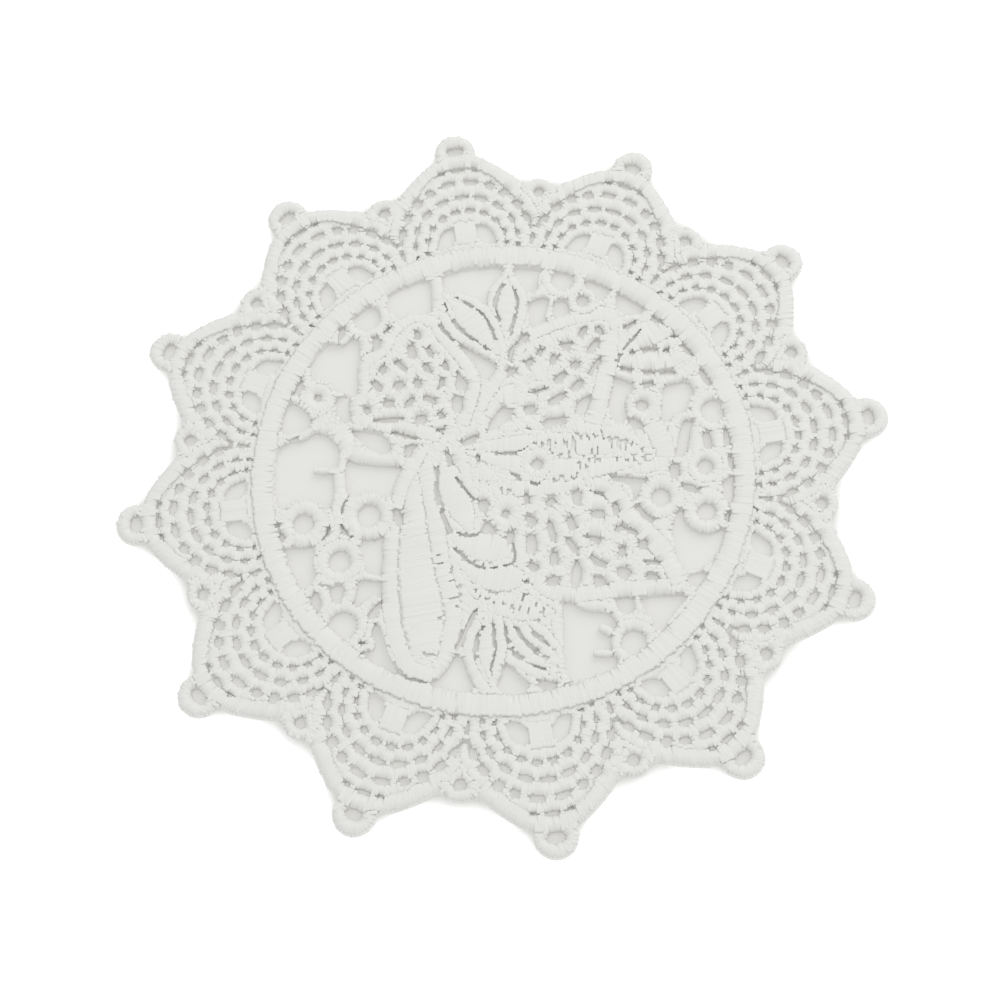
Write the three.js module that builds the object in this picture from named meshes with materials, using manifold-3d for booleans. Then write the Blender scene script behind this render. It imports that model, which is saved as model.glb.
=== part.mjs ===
// A round lace coaster: one flat piece of embroidered thread work with a scalloped edge.
import * as THREE from "three";
import { mergeVertices } from "three/addons/utils/BufferGeometryUtils.js";
import Module from "manifold-3d";

const wasm = await Module();
wasm.setup();

// Sizes are in millimetres: X to the right, Y away from the viewer, Z up, the table at Z = 0
const SCALLOPS = 12;
const STEP = 360 / SCALLOPS;

// Heights of the thread work above the table; raised stitching starts a little above the table
const NET_TOP = 1.0;
const SATIN_TOP = 1.5;
const RAISED_FROM = 0.25;

// Holes are cut from below the table to above the highest stitch
const CUT_FROM = -1;
const CUT_TO = 3;

// The satin ring between the scallops and the medallion: a flat-topped ridge that starts in the net
const RING = { inner: 35.4, outer: 38.6, foot: 0.9, top: 1.65, flat: 1.8, sides: 54 };

// Each scallop is a fan about a point on the ring; angles are from the scallop's middle line
const FAN_CENTRE = 38;
const TIP_PICOT = { at: 56.7, radius: 3.3, holeAt: 56.9, holeWide: 2.7, holeHigh: 1.6 };
const NOTCH_PICOT = { at: 48.8, radius: 2.75, holeAt: 48.95, hole: 1.8 };

// Rows of gaps in the net, each on its own circle: circle centre and radius, angles to the side
// of the scallop's middle line, and the gap's length and width
const DASH_ROWS = [
  { centre: 40.8, radius: 10.3, sides: [10.65], long: 2.6, wide: 0.95 },
  { centre: 40.8, radius: 10.3, sides: [29, 44.2, 61.2], long: 1.75, wide: 1.45 },
  { centre: 40.0, radius: 8.36, sides: [0, 22.3], long: 2.3, wide: 0.95 },
];

// The drop-shaped gap beside the fan's middle, as [side, distance out], and the valley's gap
const DROP = [[2.1, 43.1], [4.0, 42.0], [4.9, 39.2], [2.7, 39.5], [1.8, 41.2]];
const VALLEY_GAP = [[0, 42.3], [1.5, 43.0], [1.9, 45.2], [0, 44.0], [-1.9, 45.2], [-1.5, 43.0]];

const radians = THREE.MathUtils.degToRad;

// Distance from the fan's centre to the scallop's outer edge and to its net's outer edge
const scallopEdge = (side) => 19.56 - 0.1473 * side + 0.0012 * side * side;
const netEdge = (side) => 12.6 + 3.3 * Math.cos(radians(1.8 * side)) ** 2;

// A point given across and along a line from the coaster's middle, turned by an angle
function turned(x, y, angle) {
  return new THREE.Vector2(x, y).rotateAround(new THREE.Vector2(), -radians(angle));
}

// A point at a distance and an angle from a centre on the scallop's middle line
function fanPoint(centre, out, side, scallop) {
  const x = out * Math.sin(radians(side));
  const y = centre + out * Math.cos(radians(side));
  return turned(x, y, scallop * STEP);
}

function oval(x, y, halfWide, halfHigh, sides) {
  return Array.from({ length: sides }, (_, i) => {
    const angle = (2 * Math.PI * i) / sides;
    return new THREE.Vector2(x + halfWide * Math.cos(angle), y + halfHigh * Math.sin(angle));
  });
}

// An upright solid between two heights from an outline and its holes
function solid(outline, bottom, top, holes = []) {
  const shape = new THREE.Shape(THREE.ShapeUtils.isClockWise(outline) ? outline.toReversed() : outline);
  shape.holes = holes.map((hole) => new THREE.Path(hole));
  const geometry = new THREE.ExtrudeGeometry(shape, { depth: top - bottom, bevelEnabled: false });
  return toManifold(geometry.translate(0, 0, bottom));
}

function toManifold(geometry) {
  geometry.deleteAttribute("normal");
  geometry.deleteAttribute("uv");
  const merged = mergeVertices(geometry, 1e-4);
  const mesh = new wasm.Mesh({
    numProp: 3,
    vertProperties: Float32Array.from(merged.attributes.position.array),
    triVerts: Uint32Array.from(merged.index.array),
  });
  return new wasm.Manifold(mesh);
}

function satinRing() {
  const middle = (RING.inner + RING.outer) / 2;
  const profile = [
    [RING.inner, RING.foot], [RING.outer, RING.foot], [middle + RING.flat / 2, RING.top],
    [middle - RING.flat / 2, RING.top], [RING.inner, RING.foot],
  ].map(([r, z]) => new THREE.Vector2(r, z));
  return toManifold(new THREE.LatheGeometry(profile, RING.sides).rotateX(Math.PI / 2));
}

// The outer edge of the whole coaster: a picot on each tip, the scallop's sides, a picot in each notch
function edgeOutline() {
  const edge = [];
  for (let k = 0; k < SCALLOPS; k += 1) {
    for (const side of [-40, -31, -22]) {
      edge.push(fanPoint(FAN_CENTRE, scallopEdge(-side), side, k));
    }
    for (const around of [-110, -75, -37, 0, 37, 75, 110]) {
      edge.push(fanPoint(TIP_PICOT.at, TIP_PICOT.radius, around, k));
    }
    for (const side of [22, 31, 40]) {
      edge.push(fanPoint(FAN_CENTRE, scallopEdge(side), side, k));
    }
    for (const around of [-48, -16, 16, 48]) {
      edge.push(fanPoint(NOTCH_PICOT.at, NOTCH_PICOT.radius, around, k + 0.5));
    }
  }
  return edge;
}

function picotHoles() {
  const holes = [];
  for (let k = 0; k < SCALLOPS; k += 1) {
    const { holeAt, holeWide, holeHigh } = TIP_PICOT;
    const tip = oval(0, holeAt, holeWide / 2, holeHigh / 2, 6);
    const notch = oval(0, NOTCH_PICOT.holeAt, NOTCH_PICOT.hole / 2, NOTCH_PICOT.hole / 2, 5);
    holes.push(tip.map(({ x, y }) => turned(x, y, k * STEP)));
    holes.push(notch.map(({ x, y }) => turned(x, y, (k + 0.5) * STEP)));
  }
  return holes;
}

function dashGap({ centre, radius, long, wide }, side, scallop) {
  const halfAngle = THREE.MathUtils.radToDeg(long / 2 / radius);
  const corners = [[-1, -1], [1, -1], [1, 1], [-1, 1]];
  return corners.map(([a, b]) => fanPoint(centre, radius + (b * wide) / 2, side + a * halfAngle, scallop));
}

// All gaps in the netted fans
function netGaps() {
  const gaps = [];
  for (let k = 0; k < SCALLOPS; k += 1) {
    for (const row of DASH_ROWS) {
      for (const side of row.sides) {
        gaps.push(dashGap(row, side, k));
        if (side > 0) {
          gaps.push(dashGap(row, -side, k));
        }
      }
    }
    for (const mirror of [-1, 1]) {
      gaps.push(DROP.map(([x, y]) => turned(mirror * x, y, k * STEP)));
    }
    gaps.push(VALLEY_GAP.map(([x, y]) => turned(x, y, (k + 0.5) * STEP)));
  }
  return gaps;
}

// Where the satin edge ends and the nets begin, all the way round
function netOutline() {
  const outline = [];
  for (let k = 0; k < SCALLOPS; k += 1) {
    for (const side of [-50, -36, -18, 0, 18, 36, 50]) {
      outline.push(fanPoint(FAN_CENTRE, netEdge(side), side, k));
    }
    outline.push(turned(0, 45.9, (k + 0.5) * STEP));
  }
  return outline;
}

// Eyelet flowers of the medallion
const EYELETS = [
  { x: -31.2, y: -3.7, outer: 4.0, hole: 1.4 },
  { x: -21.1, y: -4.0, outer: 4.0, hole: 1.5 },
  { x: -26.2, y: -10.7, outer: 3.4, hole: 1.5 },
  { x: -26.8, y: -20.9, outer: 3.7, hole: 2.1 },
  { x: -17.6, y: 29.5, outer: 3.7, hole: 2.1 },
  { x: -26.7, y: 16.7, outer: 3.0, hole: 0.6 },
  { x: 14.3, y: 31.0, outer: 3.4, hole: 1.8 },
  { x: 16.8, y: 26.8, outer: 2.4, hole: 1.0 },
  { x: 22.9, y: 7.6, outer: 2.7, hole: 0.9 },
  { x: 33.4, y: 5.0, outer: 3.4, hole: 1.8 },
  { x: 30.9, y: -3.9, outer: 2.6, hole: 1.1 },
  { x: 23.6, y: -7.8, outer: 3.4, hole: 1.3 },
  { x: 29.9, y: -11.2, outer: 3.6, hole: 1.3 },
  { x: 15.9, y: -29.9, outer: 3.5, hole: 1.7 },
  { x: -0.3, y: -7.1, outer: 3.0, hole: 0.6 },
  { x: 5.5, y: 0.2, outer: 2.4, hole: 0.7 },
];

// Leaves and body segments: base, tip, greatest width, and how far the middle line bows to its left
const LEAVES = [
  { x1: 2.6, y1: 18.2, x2: -5.4, y2: 31.0, wide: 5.2, bow: -0.2 },
  { x1: 3.2, y1: 17.5, x2: 5.6, y2: 35.6, wide: 6.4, bow: 0 },
  { x1: -5.2, y1: -21.8, x2: -6.6, y2: -35.2, wide: 5.8, bow: 0.2 },
  { x1: -3.4, y1: -22.2, x2: 4.6, y2: -33.6, wide: 5.6, bow: -0.4 },
  { x1: 20.0, y1: 15.2, x2: 34.2, y2: 13.4, wide: 6.0, bow: 0.8 },
  { x1: 21.0, y1: 16.4, x2: 31.0, y2: 19.4, wide: 4.6, bow: 1.4 },
  { x1: -6.8, y1: 4.6, x2: 25.2, y2: -1.0, wide: 8.4, bow: -1.0 },
  { x1: -8.6, y1: 4.4, x2: -5.6, y2: -10.2, wide: 4.6, bow: -0.5 },
  { x1: -9.2, y1: -10.2, x2: 1.0, y2: -13.8, wide: 5.0, bow: 0 },
  { x1: -8.9, y1: -13.6, x2: 3.0, y2: -18.5, wide: 5.0, bow: -0.8 },
  { x1: -7.6, y1: -18.4, x2: 5.4, y2: -24.0, wide: 4.6, bow: -0.6 },
];

// Satin ribbons round the wings: where each one runs, as [x, y], and its width
const RIBBONS = [
  { wide: 2.0, via: [[-9, 7], [-14, 9.2], [-20.3, 11.6], [-21, 14.5], [-19.4, 17.2]] },
  { wide: 1.8, via: [[-19.4, 17.2], [-18.9, 21], [-15.6, 23], [-13.5, 26], [-10, 28], [-7, 26.3]] },
  { wide: 2.0, via: [[-7.6, 27.2], [-4.6, 21.5], [-2.2, 16], [-5, 8.5]] },
  { wide: 2.2, via: [[-4.5, 8.5], [2.3, 16.5], [7.5, 21.8], [14, 23.8], [20, 23.8], [21.6, 21.5]] },
  { wide: 2.8, via: [[20.4, 23], [19.2, 16.5], [17, 10], [15, 5.8]] },
  { wide: 2.3, via: [[0, -3.2], [10, -3.3], [15.5, -3.8], [18.8, -8.5], [22.6, -15], [24.6, -22.3]] },
  { wide: 2.2, via: [[24.6, -22.3], [14, -21.6], [6.5, -21.2], [2, -17.5], [0.8, -13.5]] },
  { wide: 2.4, via: [[-12, 5.2], [-16, -1], [-18.3, -9], [-19.3, -20], [-18, -28.5], [-14.5, -30.6]] },
  { wide: 2.2, via: [[-14.5, -30.6], [-11, -28.5], [-7.6, -21], [-9.6, -12], [-11.4, -2], [-12, 5.2]] },
];

// Large gaps of the medallion, by quarter: middle, length, width, direction of the length in
// degrees, and how much wider the far end is
const GAPS_UPPER_LEFT = [
  { x: -10.3, y: 31.2, long: 7.6, wide: 5.8, turn: 10, taper: 0.1 },
  { x: 0.2, y: 32.3, long: 5.2, wide: 6.4, turn: 90, taper: 0.5 },
  { x: -21.8, y: 27.1, long: 3.2, wide: 1.4, turn: 80, taper: 0 },
  { x: -23.3, y: 21.8, long: 7.4, wide: 6.8, turn: 80, taper: 0.1 },
  { x: -20.3, y: 22.2, long: 7.2, wide: 2.4, turn: 82, taper: 0.3 },
  { x: -29.4, y: 19.1, long: 3.2, wide: 1.2, turn: 75, taper: 0 },
  { x: -31.9, y: 12.6, long: 8.2, wide: 3.2, turn: 74, taper: -0.3 },
  { x: -30.0, y: 5.9, long: 8.8, wide: 9.0, turn: 90, taper: 0 },
  { x: -26.4, y: 7.3, long: 5.2, wide: 4.2, turn: 90, taper: 0 },
  { x: -32.4, y: 2.0, long: 5.4, wide: 4.6, turn: 90, taper: 0.1 },
  { x: -27.3, y: 1.2, long: 4.2, wide: 2.6, turn: 105, taper: 0.2 },
  { x: -23.3, y: 14.0, long: 5.0, wide: 2.0, turn: 95, taper: 0.2 },
  { x: -18.6, y: 7.8, long: 4.8, wide: 3.0, turn: -42, taper: 0.1 },
  { x: -13.3, y: 5.4, long: 2.8, wide: 1.9, turn: 15, taper: 0 },
  { x: -19.6, y: 2.0, long: 8.4, wide: 3.2, turn: -10, taper: 0.1 },
  { x: -16.6, y: 0.4, long: 3.8, wide: 1.9, turn: 68, taper: 0.2 },
  { x: -16.2, y: 24.2, long: 2.4, wide: 1.9, turn: -50, taper: 0 },
  { x: -14.0, y: 26.0, long: 2.8, wide: 1.8, turn: 65, taper: 0 },
  { x: -1.7, y: 18.7, long: 6.4, wide: 3.4, turn: -52, taper: 0.1 },
];

const GAPS_UPPER_RIGHT = [
  { x: 9.4, y: 25.4, long: 6.4, wide: 2.8, turn: 80, taper: 0.15 },
  { x: 13.2, y: 25.5, long: 4.0, wide: 2.3, turn: 80, taper: 0.1 },
  { x: 9.1, y: 32.2, long: 4.4, wide: 3.2, turn: 80, taper: 0.2 },
  { x: 20.0, y: 28.5, long: 3.8, wide: 2.6, turn: -35, taper: 0 },
  { x: 23.8, y: 24.9, long: 4.8, wide: 2.6, turn: -38, taper: 0 },
  { x: 28.7, y: 20.6, long: 5.2, wide: 1.4, turn: -52, taper: 0 },
  { x: 19.0, y: 9.3, long: 8.0, wide: 2.4, turn: 88, taper: 0.2 },
  { x: 20.7, y: 11.7, long: 3.4, wide: 1.9, turn: -28, taper: 0 },
  { x: 28.3, y: 7.9, long: 4.9, wide: 4.6, turn: 90, taper: 0.1 },
  { x: 33.4, y: 10.6, long: 3.4, wide: 1.3, turn: -65, taper: 0 },
  { x: 31.6, y: 15.6, long: 3.4, wide: 0.9, turn: -58, taper: 0 },
  { x: 21.5, y: 4.6, long: 2.3, wide: 1.4, turn: -50, taper: 0 },
  { x: 28.3, y: 1.3, long: 6.2, wide: 2.2, turn: 60, taper: 0 },
  { x: 31.9, y: 0.0, long: 2.5, wide: 1.3, turn: 90, taper: 0 },
  { x: 34.9, y: 0.2, long: 2.8, wide: 0.9, turn: 90, taper: 0 },
  { x: 0.6, y: 1.8, long: 3.6, wide: 1.6, turn: 0, taper: 0 },
];

const GAPS_LOWER_LEFT = [
  { x: -16.8, y: -5.1, long: 3.1, wide: 1.4, turn: 80, taper: 0 },
  { x: -31.8, y: -10.7, long: 6.8, wide: 4.0, turn: 97, taper: 0.25 },
  { x: -20.9, y: -10.6, long: 6.2, wide: 3.1, turn: 92, taper: 0.15 },
  { x: -30.3, y: -16.6, long: 3.5, wide: 1.5, turn: 100, taper: 0.2 },
  { x: -27.1, y: -16.0, long: 2.4, wide: 2.3, turn: 0, taper: 0 },
  { x: -23.7, y: -16.7, long: 3.4, wide: 2.6, turn: 70, taper: 0 },
  { x: -21.4, y: -15.9, long: 3.0, wide: 1.7, turn: 0, taper: 0 },
  { x: -21.6, y: -19.2, long: 3.0, wide: 1.8, turn: 60, taper: 0.2 },
  { x: -21.6, y: -23.1, long: 4.6, wide: 1.9, turn: 105, taper: 0.2 },
  { x: -21.6, y: -26.8, long: 6.0, wide: 2.4, turn: -50, taper: 0.1 },
  { x: -11.8, y: -31.7, long: 6.0, wide: 2.8, turn: -18, taper: 0.1 },
  { x: -10.5, y: -29.7, long: 3.2, wide: 1.9, turn: 95, taper: 0 },
  { x: -3.4, y: -9.1, long: 2.8, wide: 1.9, turn: -10, taper: 0 },
  { x: -3.5, y: -5.3, long: 2.4, wide: 1.5, turn: 95, taper: 0 },
  { x: -2.8, y: -33.4, long: 4.0, wide: 3.0, turn: -45, taper: 0 },
];

const GAPS_LOWER_RIGHT = [
  { x: 8.7, y: -29.4, long: 9.6, wide: 6.4, turn: 95, taper: -0.1 },
  { x: 12.0, y: -26.1, long: 3.2, wide: 2.4, turn: -10, taper: 0 },
  { x: 12.0, y: -32.0, long: 2.0, wide: 2.6, turn: 90, taper: 0 },
  { x: 7.3, y: -24.3, long: 4.6, wide: 2.2, turn: -50, taper: 0 },
  { x: 15.8, y: -24.4, long: 3.0, wide: 2.4, turn: 80, taper: 0 },
  { x: 21.5, y: -24.9, long: 6.0, wide: 1.9, turn: -3, taper: 0 },
  { x: 20.0, y: -27.3, long: 4.8, wide: 2.0, turn: 62, taper: 0.1 },
  { x: 2.2, y: -34.1, long: 2.8, wide: 1.5, turn: -15, taper: 0 },
  { x: 27.4, y: -17.1, long: 6.4, wide: 5.4, turn: 15, taper: 0 },
  { x: 30.2, y: -16.4, long: 3.8, wide: 3.0, turn: 40, taper: 0.1 },
  { x: 25.0, y: -12.6, long: 4.8, wide: 2.6, turn: -70, taper: 0 },
  { x: 26.6, y: -21.5, long: 2.9, wide: 2.0, turn: 20, taper: 0 },
  { x: 26.2, y: -3.8, long: 2.4, wide: 1.4, turn: 80, taper: 0 },
  { x: 34.8, y: -3.9, long: 2.3, wide: 0.9, turn: 90, taper: 0 },
  { x: 28.2, y: -7.3, long: 2.9, wide: 1.6, turn: -25, taper: 0 },
  { x: 34.1, y: -8.2, long: 4.5, wide: 1.3, turn: 80, taper: 0 },
  { x: 19.8, y: -5.8, long: 2.6, wide: 1.5, turn: 90, taper: 0.3 },
  { x: 14.2, y: -5.8, long: 3.0, wide: 1.5, turn: -20, taper: 0 },
];

// Slits and small gaps that are cut through the stitching: middle, length, width and direction
const SLITS = [
  { x: -11.1, y: 22.0, long: 2.6, wide: 1.2, turn: 100 },
  { x: -13.0, y: 19.7, long: 3.0, wide: 0.9, turn: -50 },
  { x: -17.3, y: 17.0, long: 2.2, wide: 1.0, turn: 125 },
  { x: -4.0, y: 15.8, long: 4.0, wide: 1.2, turn: -63 },
  { x: -12.6, y: 13.8, long: 1.9, wide: 1.2, turn: 40 },
  { x: -9.5, y: 13.5, long: 2.1, wide: 1.1, turn: -35 },
  { x: -5.4, y: 12.3, long: 3.0, wide: 1.4, turn: 75 },
  { x: -16.4, y: 11.1, long: 4.8, wide: 0.8, turn: -5 },
  { x: -9.1, y: 7.8, long: 2.7, wide: 1.6, turn: 15 },
  { x: -4.4, y: 5.7, long: 4.0, wide: 0.7, turn: 18 },
  { x: 13.0, y: 19.2, long: 2.6, wide: 1.3, turn: 30 },
  { x: 15.9, y: 21.4, long: 2.1, wide: 1.1, turn: 55 },
  { x: 16.9, y: 18.4, long: 2.8, wide: 1.1, turn: 45 },
  { x: 10.9, y: 17.3, long: 2.2, wide: 1.1, turn: 60 },
  { x: 16.7, y: 15.2, long: 3.7, wide: 0.8, turn: 50 },
  { x: 11.2, y: 14.0, long: 2.4, wide: 1.1, turn: 35 },
  { x: 13.5, y: 12.3, long: 2.3, wide: 1.3, turn: 35 },
  { x: 0.7, y: 8.7, long: 4.6, wide: 2.1, turn: 35 },
  { x: 5.9, y: 9.6, long: 1.8, wide: 1.6, turn: 0 },
  { x: 14.0, y: 8.8, long: 3.3, wide: 1.6, turn: 55 },
  { x: 9.2, y: 6.9, long: 3.8, wide: 1.8, turn: 12 },
  { x: 22.4, y: 17.6, long: 7.0, wide: 0.5, turn: 46 },
  { x: 3.4, y: -8.7, long: 2.3, wide: 1.4, turn: 100 },
  { x: 3.0, y: -12.6, long: 3.6, wide: 1.4, turn: 90 },
  { x: 6.1, y: -11.0, long: 3.7, wide: 1.1, turn: 95 },
  { x: 8.8, y: -18.2, long: 4.1, wide: 1.4, turn: 82 },
  { x: 12.8, y: -16.8, long: 2.9, wide: 1.2, turn: -45 },
  { x: 12.2, y: -20.6, long: 3.2, wide: 1.8, turn: 70 },
  { x: 16.3, y: -19.0, long: 2.2, wide: 1.6, turn: 0 },
  { x: 18.7, y: -4.2, long: 5.8, wide: 0.7, turn: -14 },
  { x: -8.3, y: -24.5, long: 6.8, wide: 1.0, turn: 60 },
  { x: -10.2, y: -2.0, long: 5.6, wide: 0.7, turn: 90 },
  { x: -9.5, y: -7.0, long: 4.2, wide: 0.9, turn: -70 },
  { x: -7.0, y: -13.2, long: 4.8, wide: 0.6, turn: -42 },
];

// How square a gap is: 1 gives an oval, 0 a rectangle; gaps above this area get more corners
const GAP_ROUNDNESS = 0.6;
const LARGE_GAP = 13;

function gapOutline({ x, y, long, wide, turn, taper = 0 }, corners) {
  const middle = new THREE.Vector2(x, y);
  const fuller = (value) => Math.sign(value) * Math.abs(value) ** GAP_ROUNDNESS;
  return Array.from({ length: corners }, (_, i) => {
    const angle = (2 * Math.PI * (i + 0.5)) / corners;
    const along = (long / 2) * fuller(Math.cos(angle));
    const across = (wide / 2) * fuller(Math.sin(angle)) * (1 + (2 * taper * along) / long);
    return new THREE.Vector2(x + along, y + across).rotateAround(middle, radians(turn));
  });
}

const cutter = (outline) => solid(outline, CUT_FROM, CUT_TO);
const raised = (outline) => solid(outline, RAISED_FROM, SATIN_TOP);

// An outline of two arcs that meet at both ends
function leafOutline({ x1, y1, x2, y2, wide, bow }, steps = 4) {
  const along = new THREE.Vector2(x2 - x1, y2 - y1);
  const across = new THREE.Vector2(-along.y, along.x).normalize();
  const edge = (u, half) => new THREE.Vector2(x1, y1)
    .addScaledVector(along, u)
    .addScaledVector(across, (bow + half) * Math.sin(Math.PI * u));
  const right = Array.from({ length: steps + 1 }, (_, i) => edge(i / steps, -wide / 2));
  const left = Array.from({ length: steps - 1 }, (_, i) => edge(1 - (i + 1) / steps, wide / 2));
  return [...right, ...left];
}

// A band of even width along a smooth line
function ribbonOutline({ via, wide }) {
  const steps = via.length + 2;
  const line = new THREE.SplineCurve(via.map(([x, y]) => new THREE.Vector2(x, y)));
  const edge = (i, half) => {
    const along = line.getTangent(i / steps);
    return line.getPoint(i / steps).add(new THREE.Vector2(-along.y, along.x).multiplyScalar(half));
  };
  const right = Array.from({ length: steps + 1 }, (_, i) => edge(i, -wide / 2));
  const left = Array.from({ length: steps + 1 }, (_, i) => edge(steps - i, wide / 2));
  return [...right, ...left];
}

// The whole coaster at satin height, lowered to net height inside the satin edge
const edged = solid(edgeOutline(), 0, SATIN_TOP, [...netGaps(), ...picotHoles()]);
const plate = edged.subtract(solid(netOutline(), NET_TOP, CUT_TO));
const gaps = [GAPS_UPPER_LEFT, GAPS_UPPER_RIGHT, GAPS_LOWER_LEFT, GAPS_LOWER_RIGHT].flat();
const pierced = gaps.reduce((body, gap) => {
  const corners = gap.long * gap.wide > LARGE_GAP ? 8 : 6;
  return body.subtract(cutter(gapOutline(gap, corners)));
}, plate);

const raisedPieces = [
  satinRing(),
  ...EYELETS.map(({ x, y, outer }) => raised(oval(x, y, outer, outer, 9))),
  ...LEAVES.map((leaf) => raised(leafOutline(leaf))),
  ...RIBBONS.map((ribbon) => raised(ribbonOutline(ribbon))),
];
const stitched = raisedPieces.reduce((body, piece) => body.add(piece), pierced);

const cuts = [
  ...EYELETS.map(({ x, y, hole }) => oval(x, y, hole, hole, 6)),
  ...SLITS.map((slit) => gapOutline(slit, 4)),
];
const joined = cuts.reduce((body, cut) => body.subtract(cutter(cut)), stitched);

const mesh = joined.getMesh();
const geometry = new THREE.BufferGeometry();
geometry.setAttribute("position", new THREE.BufferAttribute(Float32Array.from(mesh.vertProperties), 3));
geometry.setIndex([...mesh.triVerts]);
geometry.computeVertexNormals();

const thread = new THREE.MeshStandardMaterial({ color: 0xe9e8e3, roughness: 0.85, metalness: 0 });
const lace = new THREE.Mesh(geometry, thread);
lace.name = "lace_coaster";

const coaster = new THREE.Group();
coaster.add(lace);

export default coaster;
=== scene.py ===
# A round lace coaster of embroidered thread, lying flat on a pale table
import math

import bpy
import numpy as np
from mathutils import Matrix, Vector


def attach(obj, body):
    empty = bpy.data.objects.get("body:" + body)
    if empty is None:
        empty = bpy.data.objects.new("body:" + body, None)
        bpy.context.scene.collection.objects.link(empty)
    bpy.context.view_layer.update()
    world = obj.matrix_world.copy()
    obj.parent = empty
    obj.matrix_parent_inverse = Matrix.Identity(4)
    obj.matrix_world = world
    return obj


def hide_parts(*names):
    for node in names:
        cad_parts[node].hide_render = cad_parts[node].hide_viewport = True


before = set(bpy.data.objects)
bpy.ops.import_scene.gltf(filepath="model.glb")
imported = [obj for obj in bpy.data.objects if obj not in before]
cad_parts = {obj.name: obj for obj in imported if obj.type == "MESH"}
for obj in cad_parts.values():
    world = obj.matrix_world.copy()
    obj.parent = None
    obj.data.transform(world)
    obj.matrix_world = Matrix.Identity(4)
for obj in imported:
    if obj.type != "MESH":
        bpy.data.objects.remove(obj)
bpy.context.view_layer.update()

# Sizes are in millimetres until a mesh is made: X right, Y away from the viewer, Z up
MM = 0.001
SCALLOPS = 12
STEP = 360 / SCALLOPS
RING_INNER = 35.4
RING_OUTER = 38.6
RING_MIDDLE = (RING_INNER + RING_OUTER) / 2

# The looped tips, and the loops in the notches between the scallops. Their stitches lie about
# stitched_at, out to half_turn degrees on each side
TIP_PICOT = {"at": 56.7, "radius": 3.3, "hole_at": 56.9, "hole_wide": 2.7, "hole_high": 1.6}
TIP_STITCHES = {"stitched_at": 57.0, "radius": 2.2, "reach": 1.5, "half_turn": 118}
NOTCH_PICOT = {"at": 48.8, "radius": 2.75, "hole_at": 48.95, "hole": 1.7}
NOTCH_STITCHES = {"stitched_at": 48.95, "radius": 1.7, "reach": 1.2, "half_turn": 100}

# Each scallop is a fan about a point on the ring. Its rim and the edge of its net are distances
# from there, which change with the side angle in degrees
FAN_CENTRE = 38.0
RIM_REACH = 19.56
RIM_SLOPE = 0.1473
RIM_CURVE = 0.0012
NET_REACH = 12.6
NET_RISE = 3.3
NET_WAVE = 1.8

# Side angles of the corners of a scallop's outline
NOTCH_ANGLES = range(0, 49, 12)
TIP_ANGLES = range(-110, 111, 11)
RIM_ANGLES = range(-40, -15, 4)

# Rows of gaps in a fan: circle centre, radius, and each gap's side angle, length and width
DASH_ROWS = [
    (41.1, 12.24, [(0, 2.1, 0.6), (12.6, 1.1, 0.5)]),
    (40.8, 10.3, [(10.65, 2.4, 0.9), (29, 1.6, 1.3), (44.2, 1.6, 1.5), (61.2, 1.9, 1.1),
                  (76.5, 1.7, 0.85)]),
    (40.0, 8.36, [(0, 2.3, 0.8), (22.3, 2.1, 0.9), (44.6, 1.7, 0.9), (66.9, 1.7, 0.75), (86, 1.3, 0.5),
                  (100.7, 0.7, 0.65)]),
    (39.4, 6.47, [(10.6, 1.4, 0.85), (31.9, 1.2, 0.85), (53.2, 1.0, 0.8), (74, 1.2, 0.55),
                  (93.5, 0.7, 0.6)]),
]

# The drop-shaped gap beside a fan's middle
DROP = [(2.2, 43.0), (3.2, 42.7), (4.0, 42.0), (4.6, 40.5), (4.9, 39.2), (3.9, 39.2), (2.7, 39.6),
        (1.9, 40.8), (1.8, 42.2)]

# Between two fans: a slit on each side and a gap in the middle, as x, y, length, width, direction
VALLEY_SLIT = (0.8, 43.7, 2.8, 0.42, 66)
VALLEY_GAP = (0, 40.4, 1.9, 0.6, 90)

# Cords of the net: circle centre, radius, and how far they go to each side in degrees
CORDS = [(41.0, 11.3, 84), (40.4, 9.35, 96), (39.7, 7.4, 112), (39.1, 5.4, 120)]
CORD_REACH = 1.0

# The satin edge of a scallop goes this far to each side in degrees, and out to this distance
EDGE_SIDE = 50
EDGE_LIMIT = 17.9
EDGE_RADIUS = 16.2
EDGE_EXTRA = 0.2

# The satin plate in the middle of a fan
PLATE_AT = 41.75
PLATE_HALF_WIDE = 1.8
PLATE_HALF_HIGH = 2.0
PLATE_PITCH = 0.4

# Eyelet flowers: x, y, outer radius, hole radius
EYELETS = [
    (-31.2, -3.8, 4.0, 1.5), (-21.1, -4.1, 4.0, 1.7), (-26.2, -10.7, 3.4, 1.65),
    (-26.8, -20.9, 3.7, 2.15), (-17.5, 29.1, 3.7, 2.1), (-26.7, 16.7, 3.0, 0.6), (14.3, 31.0, 3.4, 1.8),
    (16.8, 26.8, 2.4, 1.0), (22.9, 7.6, 2.7, 0.9), (33.6, 5.0, 3.4, 1.8), (30.9, -4.0, 2.6, 1.2),
    (23.4, -7.8, 3.4, 1.4), (29.9, -11.2, 3.6, 1.35), (15.8, -29.9, 3.5, 1.8), (-0.3, -7.1, 3.0, 0.6),
    (5.5, 0.2, 2.4, 0.85),
]

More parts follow.
